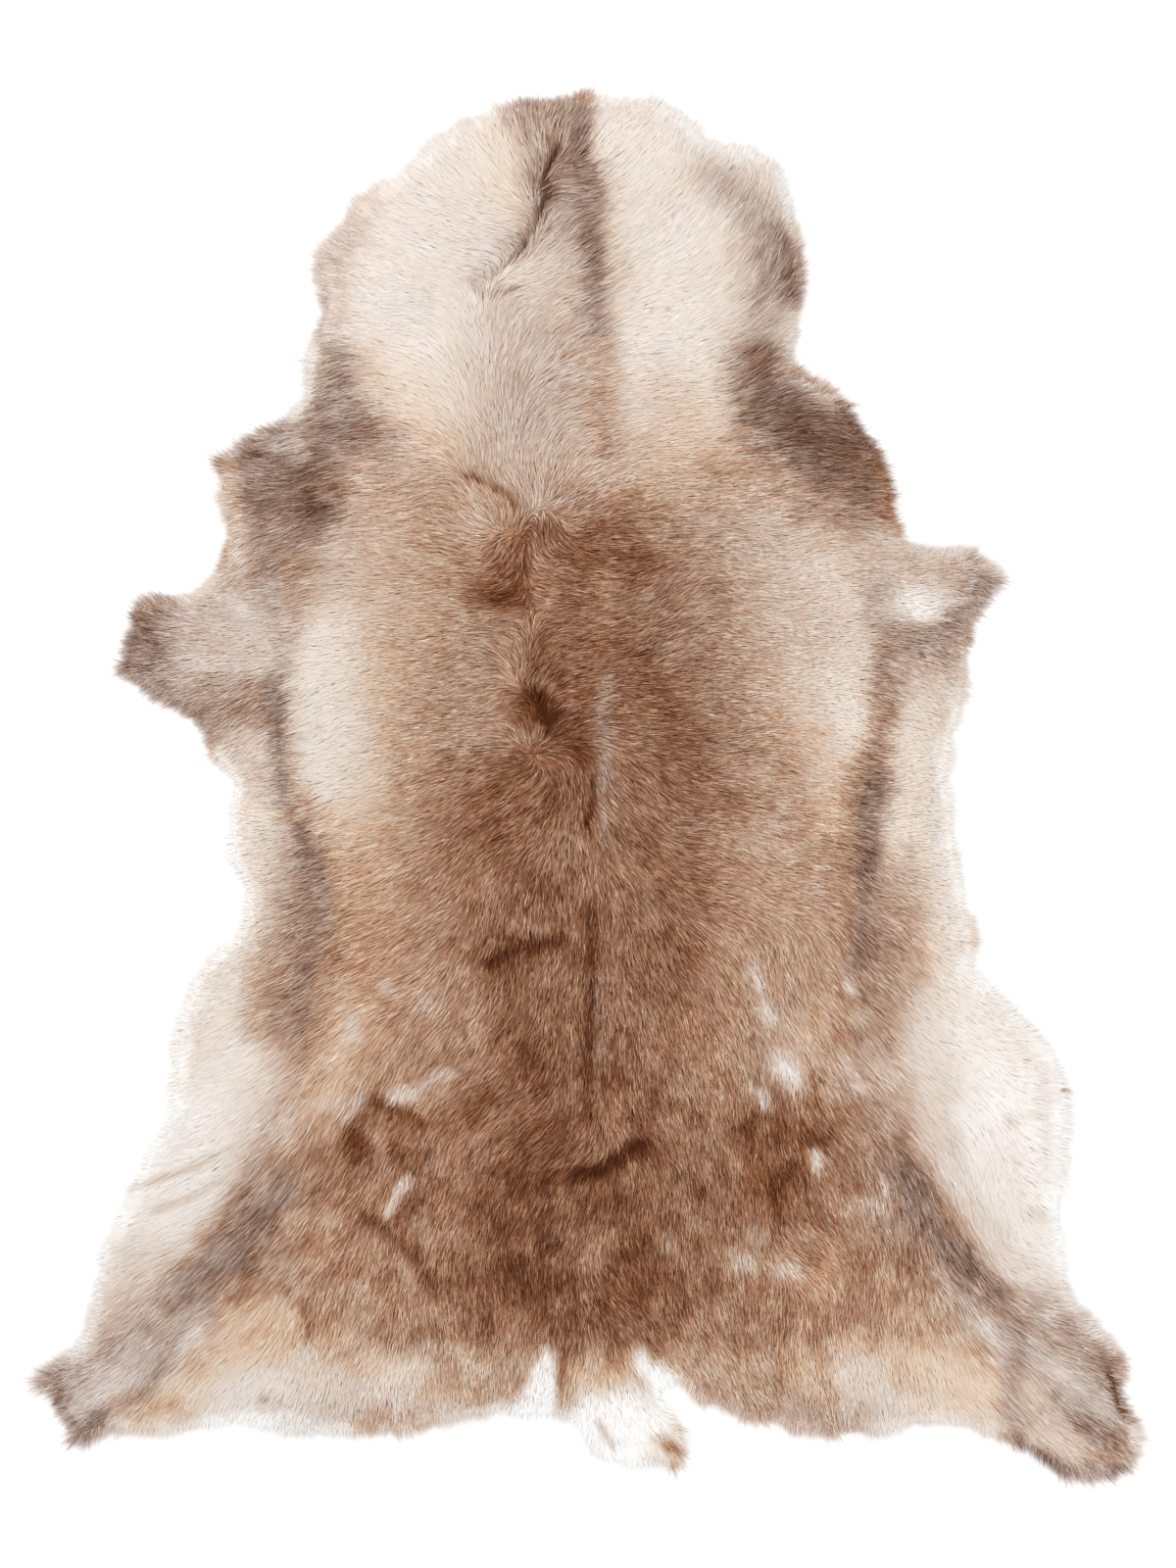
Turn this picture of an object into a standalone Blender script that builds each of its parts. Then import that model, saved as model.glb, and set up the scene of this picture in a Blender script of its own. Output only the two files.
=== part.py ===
"""Reindeer hide laid flat, hair side up.

One tanned skin with its hair on: neck at +Y, tail and hind legs at -Y, flesh side flat on Z = 0.
The solid takes in the hair, so its outline is the tips of the fringe and its top is the lie of the pile.
"""

import math
from collections import namedtuple

import bmesh
import bpy
import numpy as np
from mathutils import Vector
from mathutils.geometry import delaunay_2d_cdt

MM = 0.001

# Driving dimensions, in metres.
HIDE_LENGTH = 1.275
HIDE_WIDTH = 1.015
EDGE_THICKNESS = 0.0055
BACK_LOFT = 0.0175
EDGE_RAMP = 0.055

# Spacing of the surface's points, in metres, and how the surface is finished.
OUTLINE_STEP = 0.015
TOP_GRID = 0.025
TOP_GRID_MARGIN = 0.01125
FOLD_GRID = 0.010
BASE_GRID = 0.120
BASE_GRID_MARGIN = 0.040
FINE_REACH = 1.9  # the fine grid follows each fold this many half widths out
WELD_DISTANCE = 1e-7
SHARP_EDGE_DEG = 50

# The outline counter-clockwise seen from above, one row for each stretch of the animal.
# Points are (x, y) in millimetres at life size, x across the spine and y towards the neck.
Stretch = namedtuple("Stretch", "name points")
OUTLINE = (
    Stretch("crest", ((45, 635), (0, 636), (-50, 633), (-100, 620))),
    Stretch("neck_left", ((-145, 595), (-180, 560), (-210, 545), (-230, 510), (-252, 485), (-247, 445), (-263, 380))),
    Stretch("shoulder_left", ((-270, 352), (-315, 320), (-345, 302), (-337, 260), (-337, 225), (-348, 194))),
    Stretch("foreleg_left", ((-370, 180), (-420, 170), (-422, 135), (-434, 106), (-392, 76), (-358, 54), (-350, 25))),
    Stretch("flank_left", ((-328, 5), (-336, -45), (-320, -90), (-322, -130), (-360, -172), (-380, -220), (-386, -265))),
    Stretch("groin_left", ((-393, -310), (-425, -370), (-445, -415), (-455, -460))),
    Stretch("hind_leg_left", ((-463, -497), (-485, -522), (-507, -537), (-494, -562), (-478, -587), (-466, -607))),
    Stretch("hock_left", ((-440, -594), (-370, -594), (-325, -583), (-280, -594))),
    Stretch("rump_left", ((-240, -596), (-205, -592), (-165, -594), (-130, -585), (-85, -575), (-50, -580))),
    Stretch("tail", ((-22, -580), (0, -610), (35, -624), (62, -620), (87, -630), (89, -600), (79, -572), (68, -555))),
    Stretch("rump_right", ((82, -546), (95, -560), (135, -576), (190, -592), (235, -597), (285, -591), (325, -586))),
    Stretch("hock_right", ((365, -596), (405, -614), (440, -633), (475, -636), (498, -620), (507, -590))),
    Stretch("hind_leg_right", ((491, -553), (490, -520), (470, -494), (445, -465), (436, -420))),
    Stretch("groin_right", ((437, -375), (443, -325), (440, -272), (428, -240), (380, -190), (352, -160))),
    Stretch("flank_right", ((364, -138), (353, -122), (346, -85), (338, -40), (333, 0), (335, 40))),
    Stretch("foreleg_right", ((348, 85), (352, 125), (360, 158), (379, 193), (364, 210), (350, 221), (310, 224))),
    Stretch("shoulder_right", ((288, 235), (282, 265), (274, 297), (245, 340), (225, 365))),
    Stretch("neck_right", ((189, 390), (192, 415), (198, 450), (200, 480), (192, 515), (183, 550), (172, 576))),
    Stretch("crest_right", ((150, 588), (118, 592), (100, 612), (80, 628))),
)

# Thicker or thinner pile, one row for each patch of the hide.
# Columns: centre x, centre y, reach and change of height, all in millimetres.
Patch = namedtuple("Patch", "name x y reach rise")
PATCHES = (
    Patch("neck_mane_left", -140, 430, 110, 6),
    Patch("neck_mane_right", 110, 430, 100, 5),
    Patch("shoulder_tuft_left", -280, 270, 60, 3),
    Patch("shoulder_tuft_right", 225, 290, 60, 3),
    Patch("saddle_left", -90, -20, 120, 2),
    Patch("saddle_right", 100, -30, 130, 2),
    Patch("belly_left", -330, -280, 90, 2),
    Patch("belly_right", 380, -280, 80, 3),
    Patch("loin", -60, -190, 90, -2),
    Patch("haunch_left", -190, -360, 80, -2),
    Patch("haunch_right", 190, -360, 80, -2),
    Patch("shank_left", -420, -520, 70, -4),
    Patch("shank_right", 430, -560, 70, -4),
    Patch("foreleg_left", -380, 130, 60, -4),
    Patch("foreleg_right", 345, 190, 40, -3),
    Patch("tail", 40, -580, 45, -2),
)

# Creases, partings and rolls of the pile, one row each.
# Columns: height (negative for a trough) and half width in millimetres, and the path in (x, y) millimetres.
Fold = namedtuple("Fold", "name height half_width path")
FOLDS = (
    Fold("neck_slit", -9, 7, ((-25, 580), (-38, 558), (-34, 538))),
    Fold("neck_parting", -6, 9, ((-41, 530), (-57, 503), (-80, 484), (-98, 460))),
    Fold("whorl_lip", 4, 8, ((-101, 450), (-80, 449), (-54, 457))),
    Fold("spine_groove_neck", -3, 7, ((1, 620), (5, 552), (10, 489), (11, 413))),
    Fold("withers_hollow_left", -5, 12, ((-110, 172), (-77, 180), (-50, 203))),
    Fold("withers_hollow_mid", -4, 10, ((-44, 233), (-9, 221))),
    Fold("withers_hollow_right", -4, 14, ((36, 242), (61, 206))),
    Fold("back_pit", -9, 12, ((-49, 86), (-40, 66), (-18, 55))),
    Fold("back_pit_tail", -6, 8, ((-14, 46), (2, 19), (6, -17))),
    Fold("back_pit_rim", 4, 12, ((-65, 102), (-71, 71), (-54, 37))),
    Fold("saddle_scallop", -7, 8, ((-114, -128), (-99, -159), (-72, -163), (-50, -146), (-20, -140))),
    Fold("saddle_pad", 4, 14, ((-86, -132), (-50, -125))),
    Fold("spine_groove", -4, 8, ((2, -118), (1, -186), (0, -258), (2, -330))),
    Fold("rump_crease", -8, 8, ((-15, -356), (12, -351), (36, -339), (50, -330))),
    Fold("rump_roll", 4, 14, ((0, -328), (36, -319))),
    Fold("haunch_crease_left", -6, 8, ((-209, -282), (-184, -290), (-155, -305))),
    Fold("haunch_hollow_left", -5, 14, ((-204, -314), (-197, -339))),
    Fold("haunch_fold_left", -4, 10, ((-195, -397), (-161, -414), (-135, -454))),
    Fold("haunch_hollow_right", -6, 18, ((172, -298), (180, -348), (172, -388))),
    Fold("saddle_diagonal", -3, 9, ((253, 50), (216, 30), (180, -8), (141, -69))),
    Fold("tail_groove_left", -5, 9, ((-26, -438), (-36, -478), (-38, -512))),
    Fold("tail_groove_right", -5, 9, ((81, -406), (78, -469), (63, -512))),
    Fold("belly_fold_left_high", -4, 8, ((-405, -353), (-356, -345), (-311, -324), (-279, -308))),
    Fold("belly_fold_left_low", -4, 8, ((-396, -380), (-341, -361), (-296, -337))),
    Fold("belly_fold_right_high", -4, 8, ((430, -294), (383, -301))),
    Fold("belly_fold_right_low", -4, 8, ((381, -332), (430, -360))),
    Fold("foot_roll_right", 7, 9, ((455, -512), (480, -522), (487, -548), (497, -580))),
    Fold("foot_gully_right", -4, 9, ((439, -523), (462, -539), (470, -567))),
    Fold("foot_rim_right", 4, 9, ((378, -586), (406, -604), (441, -620))),
    Fold("elbow_fold_left", -4, 9, ((-335, 217), (-314, 176), (-283, 134))),
)

# Gentle swells over the whole pile, each the product of two crossing waves.
# Columns: height in millimetres and the two waves; a wave turns by so many radians for each metre of x and of y.
Wave = namedtuple("Wave", "turn_x turn_y phase")
Swell = namedtuple("Swell", "name height first second")
SWELLS = (
    Swell("broad", 1.4, Wave(31, 9, 0), Wave(-7, 23, 1.1)),
    Swell("short", 0.84, Wave(19, 57, 0.7), Wave(49, -13, 0)),
)


def clear_scene():
    for thing in list(bpy.data.objects):
        bpy.data.objects.remove(thing, do_unlink=True)


def closed_curve(points, step):
    """Points about one step apart on the smooth closed curve through the given points."""
    count = len(points)
    curve = []
    for i in range(count):
        before, start, end, after = (points[(i + k) % count] for k in (-1, 0, 1, 2))
        parts = max(1, round(np.linalg.norm(end - start) / step))
        for t in np.arange(parts) / parts:
            bend = 2 * before - 5 * start + 4 * end - after
            twist = 3 * start - before - 3 * end + after
            curve.append(start + 0.5 * (t * (end - before) + t**2 * bend + t**3 * twist))
    return np.array(curve)


def hide_outline():
    """The smooth outline, centred on the origin and scaled to the driving length and width."""
    points = np.array([point for stretch in OUTLINE for point in stretch.points]) * MM
    curve = closed_curve(points, OUTLINE_STEP)
    low, high = curve.min(axis=0), curve.max(axis=0)
    return (curve - (low + high) / 2) * (np.array((HIDE_WIDTH, HIDE_LENGTH)) / (high - low))


def distance_to_path(places, path, closed=False):
    """Distance from each place to a path of straight pieces."""
    starts = path if closed else path[:-1]
    ends = np.roll(path, -1, axis=0) if closed else path[1:]
    nearest = np.full(len(places), np.inf)
    for start, end in zip(starts, ends):
        along = end - start
        share = np.clip((places - start) @ along / (along @ along), 0, 1)
        nearest = np.minimum(nearest, np.linalg.norm(places - start - share[:, None] * along, axis=1))
    return nearest


def inside(places, loop):
    """Whether each place lies inside the closed loop, by counting the edges that it looks across."""
    result = np.zeros(len(places), dtype=bool)
    for start, end in zip(loop, np.roll(loop, -1, axis=0)):
        spans = (start[1] > places[:, 1]) != (end[1] > places[:, 1])
        if not spans.any():
            continue
        slope = (end[0] - start[0]) / (end[1] - start[1])
        result ^= spans & (places[:, 0] < start[0] + slope * (places[:, 1] - start[1]))
    return result


def smooth_step(share):
    share = np.clip(share, 0, 1)
    return share * share * (3 - 2 * share)


def wave_angle(places, wave):
    return places @ (wave.turn_x, wave.turn_y) + wave.phase


def pile_height(places, outline):
    """Height of the pile's surface over each place."""
    loft = np.full(len(places), BACK_LOFT)
    for patch in PATCHES:
        away = np.hypot(places[:, 0] - patch.x * MM, places[:, 1] - patch.y * MM)
        loft += patch.rise * MM * np.exp(-((away / (patch.reach * MM)) ** 2))
    for swell in SWELLS:
        crossing = np.sin(wave_angle(places, swell.first)) * np.cos(wave_angle(places, swell.second))
        loft += swell.height * MM * crossing
    for fold in FOLDS:
        away = distance_to_path(places, np.array(fold.path) * MM)
        loft += fold.height * MM * np.exp(-0.5 * (away / (fold.half_width * MM)) ** 2)
    rise = smooth_step(distance_to_path(places, outline, closed=True) / EDGE_RAMP)
    return np.maximum(EDGE_THICKNESS, EDGE_THICKNESS + (loft - EDGE_THICKNESS) * rise)


def staggered_grid(spacing, outline, margin):
    """Places in staggered rows inside the outline, at least the margin away from it."""
    row_step = spacing * math.sqrt(3) / 2
    rows = math.ceil(HIDE_LENGTH / row_step)
    columns = math.ceil(HIDE_WIDTH / spacing)
    places = np.array([
        ((column + row % 2 / 2 - columns / 2) * spacing, (row - rows / 2) * row_step)
        for row in range(rows + 1)
        for column in range(columns + 1)
    ])
    places = places[inside(places, outline)]
    return places[distance_to_path(places, outline, closed=True) > margin]


def near_folds(places, extra_reach):
    """Which places lie within a fold's reach and the extra beyond it."""
    near = np.zeros(len(places), dtype=bool)
    for fold in FOLDS:
        path = np.array(fold.path) * MM
        near |= distance_to_path(places, path) < FINE_REACH * fold.half_width * MM + extra_reach
    return near


def top_places(outline):
    """A coarse grid over the hide, with a finer one along the folds."""
    coarse = staggered_grid(TOP_GRID, outline, TOP_GRID_MARGIN)
    fine = staggered_grid(FOLD_GRID, outline, FOLD_GRID)
    coarse = coarse[~near_folds(coarse, FOLD_GRID)]
    fine = fine[near_folds(fine, 0)]
    return np.vstack((coarse, fine))


def triangles_inside(outline, places):
    """Triangles over the outline and the places in it; the outline's points come first."""
    flat = [Vector(point) for point in np.vstack((outline, places))]
    loop = list(range(len(outline)))
    inside_only = 1
    corners, _, faces, *_ = delaunay_2d_cdt(flat, [], [loop], inside_only, WELD_DISTANCE)
    return [tuple(corner) for corner in corners], faces


def build_hide():
    outline = hide_outline()
    mesh = bmesh.new()

    top_flat, top_faces = triangles_inside(outline, top_places(outline))
    heights = pile_height(np.array(top_flat), outline)
    top = [mesh.verts.new((x, y, z)) for (x, y), z in zip(top_flat, heights)]
    for face in top_faces:
        mesh.faces.new([top[i] for i in face])

    base_flat, base_faces = triangles_inside(outline, staggered_grid(BASE_GRID, outline, BASE_GRID_MARGIN))
    base = [mesh.verts.new((x, y, 0)) for x, y in base_flat]
    for face in base_faces:
        mesh.faces.new([base[i] for i in reversed(face)])

    count = len(outline)
    for i in range(count):
        after = (i + 1) % count
        mesh.faces.new((base[i], base[after], top[after], top[i]))

    bmesh.ops.triangulate(mesh, faces=mesh.faces[:])
    data = bpy.data.meshes.new("hide")
    mesh.to_mesh(data)
    mesh.free()
    data.shade_smooth()
    data.set_sharp_from_angle(angle=math.radians(SHARP_EDGE_DEG))
    hide = bpy.data.objects.new("hide", data)
    bpy.context.scene.collection.objects.link(hide)
    return hide


def fur_material():
    material = bpy.data.materials.new("fur")
    material.use_nodes = True
    surface = material.node_tree.nodes["Principled BSDF"]
    surface.inputs["Base Color"].default_value = (0.36, 0.24, 0.15, 1)
    surface.inputs["Roughness"].default_value = 0.8
    surface.inputs["Metallic"].default_value = 0
    return material


clear_scene()
build_hide().data.materials.append(fur_material())
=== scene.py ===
"""Looks of the reindeer hide: its tanned skin, undercoat and hair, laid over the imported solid."""

import math
from collections import namedtuple

import bmesh
import bpy
import numpy as np
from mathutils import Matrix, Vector
from mathutils.bvhtree import BVHTree


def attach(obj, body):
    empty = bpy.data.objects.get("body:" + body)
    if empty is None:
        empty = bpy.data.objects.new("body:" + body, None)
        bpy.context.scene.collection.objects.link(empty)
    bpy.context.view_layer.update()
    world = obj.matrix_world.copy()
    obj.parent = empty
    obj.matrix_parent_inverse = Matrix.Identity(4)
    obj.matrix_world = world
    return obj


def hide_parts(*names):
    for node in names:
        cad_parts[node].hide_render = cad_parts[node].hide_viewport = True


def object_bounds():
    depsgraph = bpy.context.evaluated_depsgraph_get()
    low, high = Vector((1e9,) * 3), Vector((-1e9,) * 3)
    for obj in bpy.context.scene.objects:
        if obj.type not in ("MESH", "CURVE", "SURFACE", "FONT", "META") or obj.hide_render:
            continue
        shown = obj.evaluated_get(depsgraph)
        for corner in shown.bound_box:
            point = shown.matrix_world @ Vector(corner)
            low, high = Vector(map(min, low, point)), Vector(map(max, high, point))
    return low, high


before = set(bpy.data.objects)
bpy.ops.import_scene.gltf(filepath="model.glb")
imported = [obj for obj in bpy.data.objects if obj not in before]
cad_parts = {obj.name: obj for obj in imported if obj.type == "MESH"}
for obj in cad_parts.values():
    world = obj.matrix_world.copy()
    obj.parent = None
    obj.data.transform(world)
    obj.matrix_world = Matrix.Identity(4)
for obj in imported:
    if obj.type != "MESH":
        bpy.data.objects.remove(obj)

MM = 0.001
CAD_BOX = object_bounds()


def table(kind, *rows):
    """Rows of values as records whose columns have names."""
    return [kind(*row) for row in rows]


# ---------------------------------------------------------------- sizes

VIEW_HEIGHT = 1.440
VIEW_CENTRE = (-0.0005, 0.003)
LENS_MM = 85
SENSOR_MM = 36

# Fields are grids over the hide. The solid's top is read at every other point, and then blurred.
FIELD_STEP = 2 * MM
FIELD_MARGIN = 30 * MM
SURFACE_STEP = 4 * MM
SURFACE_BLUR = 6 * MM
LAY_BLUR = 4 * MM
BLUR_REACH = 2.5
# The solid's outline is where its underside, facing down, meets faces that hardly do.
WELD_DISTANCE = 0.01 * MM
FACING_DOWN = -0.9
HARDLY_FACING = 0.5
RAY_CLEARANCE = 100 * MM

SKIN_INSET = 13 * MM
SKIN_THICKNESS = 1.8 * MM
SKIN_GRID = 16 * MM
UNDERCOAT_INSET = 11 * MM
UNDERCOAT_GRID = 8.5 * MM
UNDERCOAT_DEPTH = 5.5 * MM
UNDERCOAT_RAMP = 22 * MM
UNDERCOAT_RIM = 0.3 * MM
UNDERCOAT_LEAST = 0.4 * MM

PILE_LEAST = 2 * MM
PILE_RELIEF = 0.5 * MM
PILE_EDGE_SHARE = 0.35
PILE_EDGE_RAMP = 20 * MM

# Random fields, each a sum of layers: how strong, how large its blotches are, and its seed.
Noise = namedtuple("Noise", "amount size seed")
LAY_TURN = (Noise(0.09, 26 * MM, 11), Noise(0.06, 9 * MM, 12))
WANDER_X = (Noise(3 * MM, 11 * MM, 31), Noise(1.2 * MM, 4 * MM, 33))
WANDER_Y = (Noise(3 * MM, 11 * MM, 32), Noise(1.2 * MM, 4 * MM, 34))
EDGE_TUFTS = (Noise(4 * MM, 8 * MM, 35),)
MOTTLES = (Noise(1, 6 * MM, 23),)
FINE_FIBRES = (Noise(1, 1.2 * MM, 21),)
BROAD_FIBRES = (Noise(1, 4 * MM, 22),)
FINE_FIBRE_LENGTH = 12 * MM
BROAD_FIBRE_LENGTH = 22 * MM
FIRST_HAIR_SEED = 101

# How the markings stray from their paths: along the hair, from what half width in millimetres they
# stray in full, and how much of it creases do.
WANDER_ALONG = 2.5 * MM
WANDER_WIDTH = 14
CREASE_WANDER = 0.2
# How much the painted shade in the creases warms the coat.
CREASE_SHADE_WARMTH = 0.3

# Mottling, stronger on the haunches than on the back.
MOTTLE_BACK = 0.022
MOTTLE_HAUNCH = 0.03
HAUNCH_TOP = -180 * MM
HAUNCH_RAMP = 120 * MM

# Painted light: pale coat is painted whiter towards the edge, a soft glow round the fringe that hides
# its
# shadow: over what breadth, up to what darkness, by how much.
FRINGE_FADE = 26 * MM
FADE_FROM_DARK = 0.28
FADE_DARK_RAMP = 0.22
FADE_OF_DARK = 0.62
FADE_OF_WARM = 0.3

# The lay of the hair between its guides.
GUIDE_CORE = 13 * MM
GUIDE_FALL = 1.8
LAY_SPREAD = 4.5 * MM
FRINGE_TURN = 1.1

# Hair of the coat and of the fringe: spread of its heading in radians, width, and the least it counts
# as pointing outward.
Hair = namedtuple("Hair", "stray width least_outward")
COAT_HAIR = Hair(0.12, 0.8 * MM, 0.05)
FRINGE_HAIR = Hair(0.26, 0.55 * MM, 0.5)
# Each hair: least and greatest share of the usual width and length, where along it the bend is, and
# the spread of its roll in radians.
HAIR_WIDTHS = (0.7, 1.3)
HAIR_LENGTHS = (0.72, 1.2)
HAIR_BEND = 0.42
HAIR_ROLL = 0.4
BACK_HAIR = 13.5 * MM
COAT_MARGIN = 6 * MM
COAT_LEAST_REACH = 7 * MM
# The fringe: where its roots begin and end beside the skin's edge, its least and greatest reach, and
# in millimetres how much tufts and chance (mean and spread) carry it past the hide's edge, and the
# least and greatest height of its middle over its root and of its tip over the floor.
FRINGE_ROOTS = (-2 * MM, 9 * MM)
FRINGE_REACH = (8 * MM, 36 * MM)
FRINGE_TUFT = 3
FRINGE_OVERHANG = (-2, 4.5)
FRINGE_MIDDLE = (0.2, 2.2)
FRINGE_TIP = (0.4, 3.0)
# Roots sit just inside the undercoat. Hairs of the coat lie below the pile's top by chance, and deeper
# at their middle, but clear of the undercoat. Pale hair lies calmer.
ROOT_SUNK = 0.2 * MM
HAIR_SUNK = 2.6 * MM
HAIR_SUNK_POWER = 1.3
TIP_SUNK_SHARE = 0.7
MIDDLE_SUNK = 1.6 * MM
MIDDLE_CLEARANCE = 0.3 * MM
TIP_CLEARANCE = 0.6 * MM
CALM_LEAST = 0.3

# How dark hairs are beside the coat's own tone, first in white coat and then what brown coat adds.
BROWN_FROM = 0.1
BROWN_RAMP = 0.42
LIGHT_COAT_SHADE = 0.012
FINE_STREAK_TONE = (0.003, 0.022)
BROAD_STREAK_TONE = (0.003, 0.012)
OWN_TONE = (0.006, 0.13)
ROOT_SHADE = (0.02, 0.08)
TIP_SHADE = (0.01, 0.09)
# Hairs are of two kinds, light and dark: the share of light ones, and each kind's mean and spread.
LIGHT_HAIRS = 0.36
LIGHT_KIND = (-0.9, 0.6)
DARK_KIND = (0.5, 0.7)
# The two sides of a hair differ a little. Its tone is the coat's at this share of its length.
SIDE_TONE = 0.012
SIDE_WARMTH = 0.02
WARMTH_SPREAD = 0.12
TONE_PLACE = 0.6
TONE_LIMITS = (0.005, 0.995)
WOOL_CONTRAST = 0.2

FLOOR_HALF = 8
FLOOR_DROP = 0.4 * MM
WORLD_STRENGTH = 0.84
Softbox = namedtuple("Softbox", "name place size power")
SOFTBOXES = table(
    Softbox,
    ("key", (-1.7, 1.5, 2.6), 1.6, 62),
    ("fill", (1.9, -0.8, 2.4), 2.2, 25),
)

# Where the hair is longer than on the back, in millimetres.
Patch = namedtuple("Patch", "name x y reach length")
LONG_HAIR = table(
    Patch,
    ("neck_left", -150, 440, 120, 26),
    ("neck_right", 110, 440, 120, 28),
    ("crest", 0, 560, 90, 24),
    ("shoulder_left", -270, 270, 90, 22),
    ("shoulder_right", 230, 290, 80, 22),
    ("belly_left", -350, -270, 110, 30),
    ("belly_right", 390, -290, 110, 30),
    ("groin_left", -410, -410, 80, 34),
    ("leg_left", -340, -480, 100, 22),
    ("leg_right", 360, -500, 110, 22),
    ("tail", 40, -580, 40, 36),
)

# The pieces of hair, each over a box of the hide, in millimetres.
Region = namedtuple("Region", "name spacing low high fringe")
REGIONS = table(
    Region,
    ("hair_neck", 1.42, (-300, 310), (300, 650), False),
    ("hair_back_left", 1.34, (-450, -130), (0, 310), False),
    ("hair_back_right", 1.34, (0, -130), (450, 310), False),
    ("hair_haunch_left", 1.42, (-520, -650), (-150, -130), False),
    ("hair_rump", 1.36, (-150, -650), (150, -130), False),
    ("hair_haunch_right", 1.42, (150, -650), (520, -130), False),
    ("hair_fringe", 1.1, (-520, -650), (520, 650), True),
)

# ---------------------------------------------------------------- coat colours

# Display levels of the lit coat from white to its darkest, at these steps. The pile shades itself and
# shines a little, so a hair's own colour is darker by its haze and lighter by its gain.
PALETTE_STEPS = (0.0, 0.1, 0.2, 0.33, 0.45, 0.55, 0.65, 0.78, 0.9, 1.0)
PILE_GAIN = 0.905
PILE_HAZE = 0.008
HAIR_COLOUR_LIMITS = (0.002, 0.97)
WARM_COAT = (
    (250, 248, 243),
    (231, 222, 213),
    (221, 204, 186),
    (213, 185, 157),
    (202, 163, 131),
    (188, 143, 109),
    (171, 118, 82),
    (144, 90, 57),
    (112, 64, 38),
    (84, 45, 26),
)
COOL_COAT = (
    (249, 248, 246),
    (226, 222, 219),
    (212, 203, 197),
    (197, 182, 173),
    (183, 165, 155),
    (167, 145, 133),
    (147, 121, 107),
    (119, 92, 78),
    (93, 66, 53),
    (74, 49, 38),
)
# Darkness and warmth of each named tone.
PIGMENTS = {
    "white": (0.03, 0.4),
    "snow": (0.07, 0.35),
    "pearl": (0.12, 0.15),
    "ivory": (0.13, 0.5),
    "cream": (0.17, 0.6),
    "butter": (0.21, 1.0),
    "linen": (0.22, 0.3),
    "honey": (0.3, 1.0),
    "silver": (0.31, 0.0),
    "beige": (0.35, 0.35),
    "sand": (0.37, 0.9),
    "ash": (0.46, 0.05),
    "tan": (0.47, 0.68),
    "ochre": (0.49, 1.0),
    "fawn": (0.56, 0.7),
    "drab": (0.58, 0.4),
    "taupe": (0.58, 0.0),
    "brown": (0.64, 0.7),
    "russet": (0.7, 1.0),
    "slate": (0.72, 0.0),
    "chestnut": (0.75, 0.65),
    "umber": (0.84, 0.75),
    "coal": (0.86, 0.15),
    "dark": (0.94, 0.95),
}
BASE_COAT = "brown"
SUEDE_DARK = (172, 146, 120)
SUEDE_LIGHT = (216, 198, 174)
FLOOR_GREYS = (0.86, 0.88)

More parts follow.
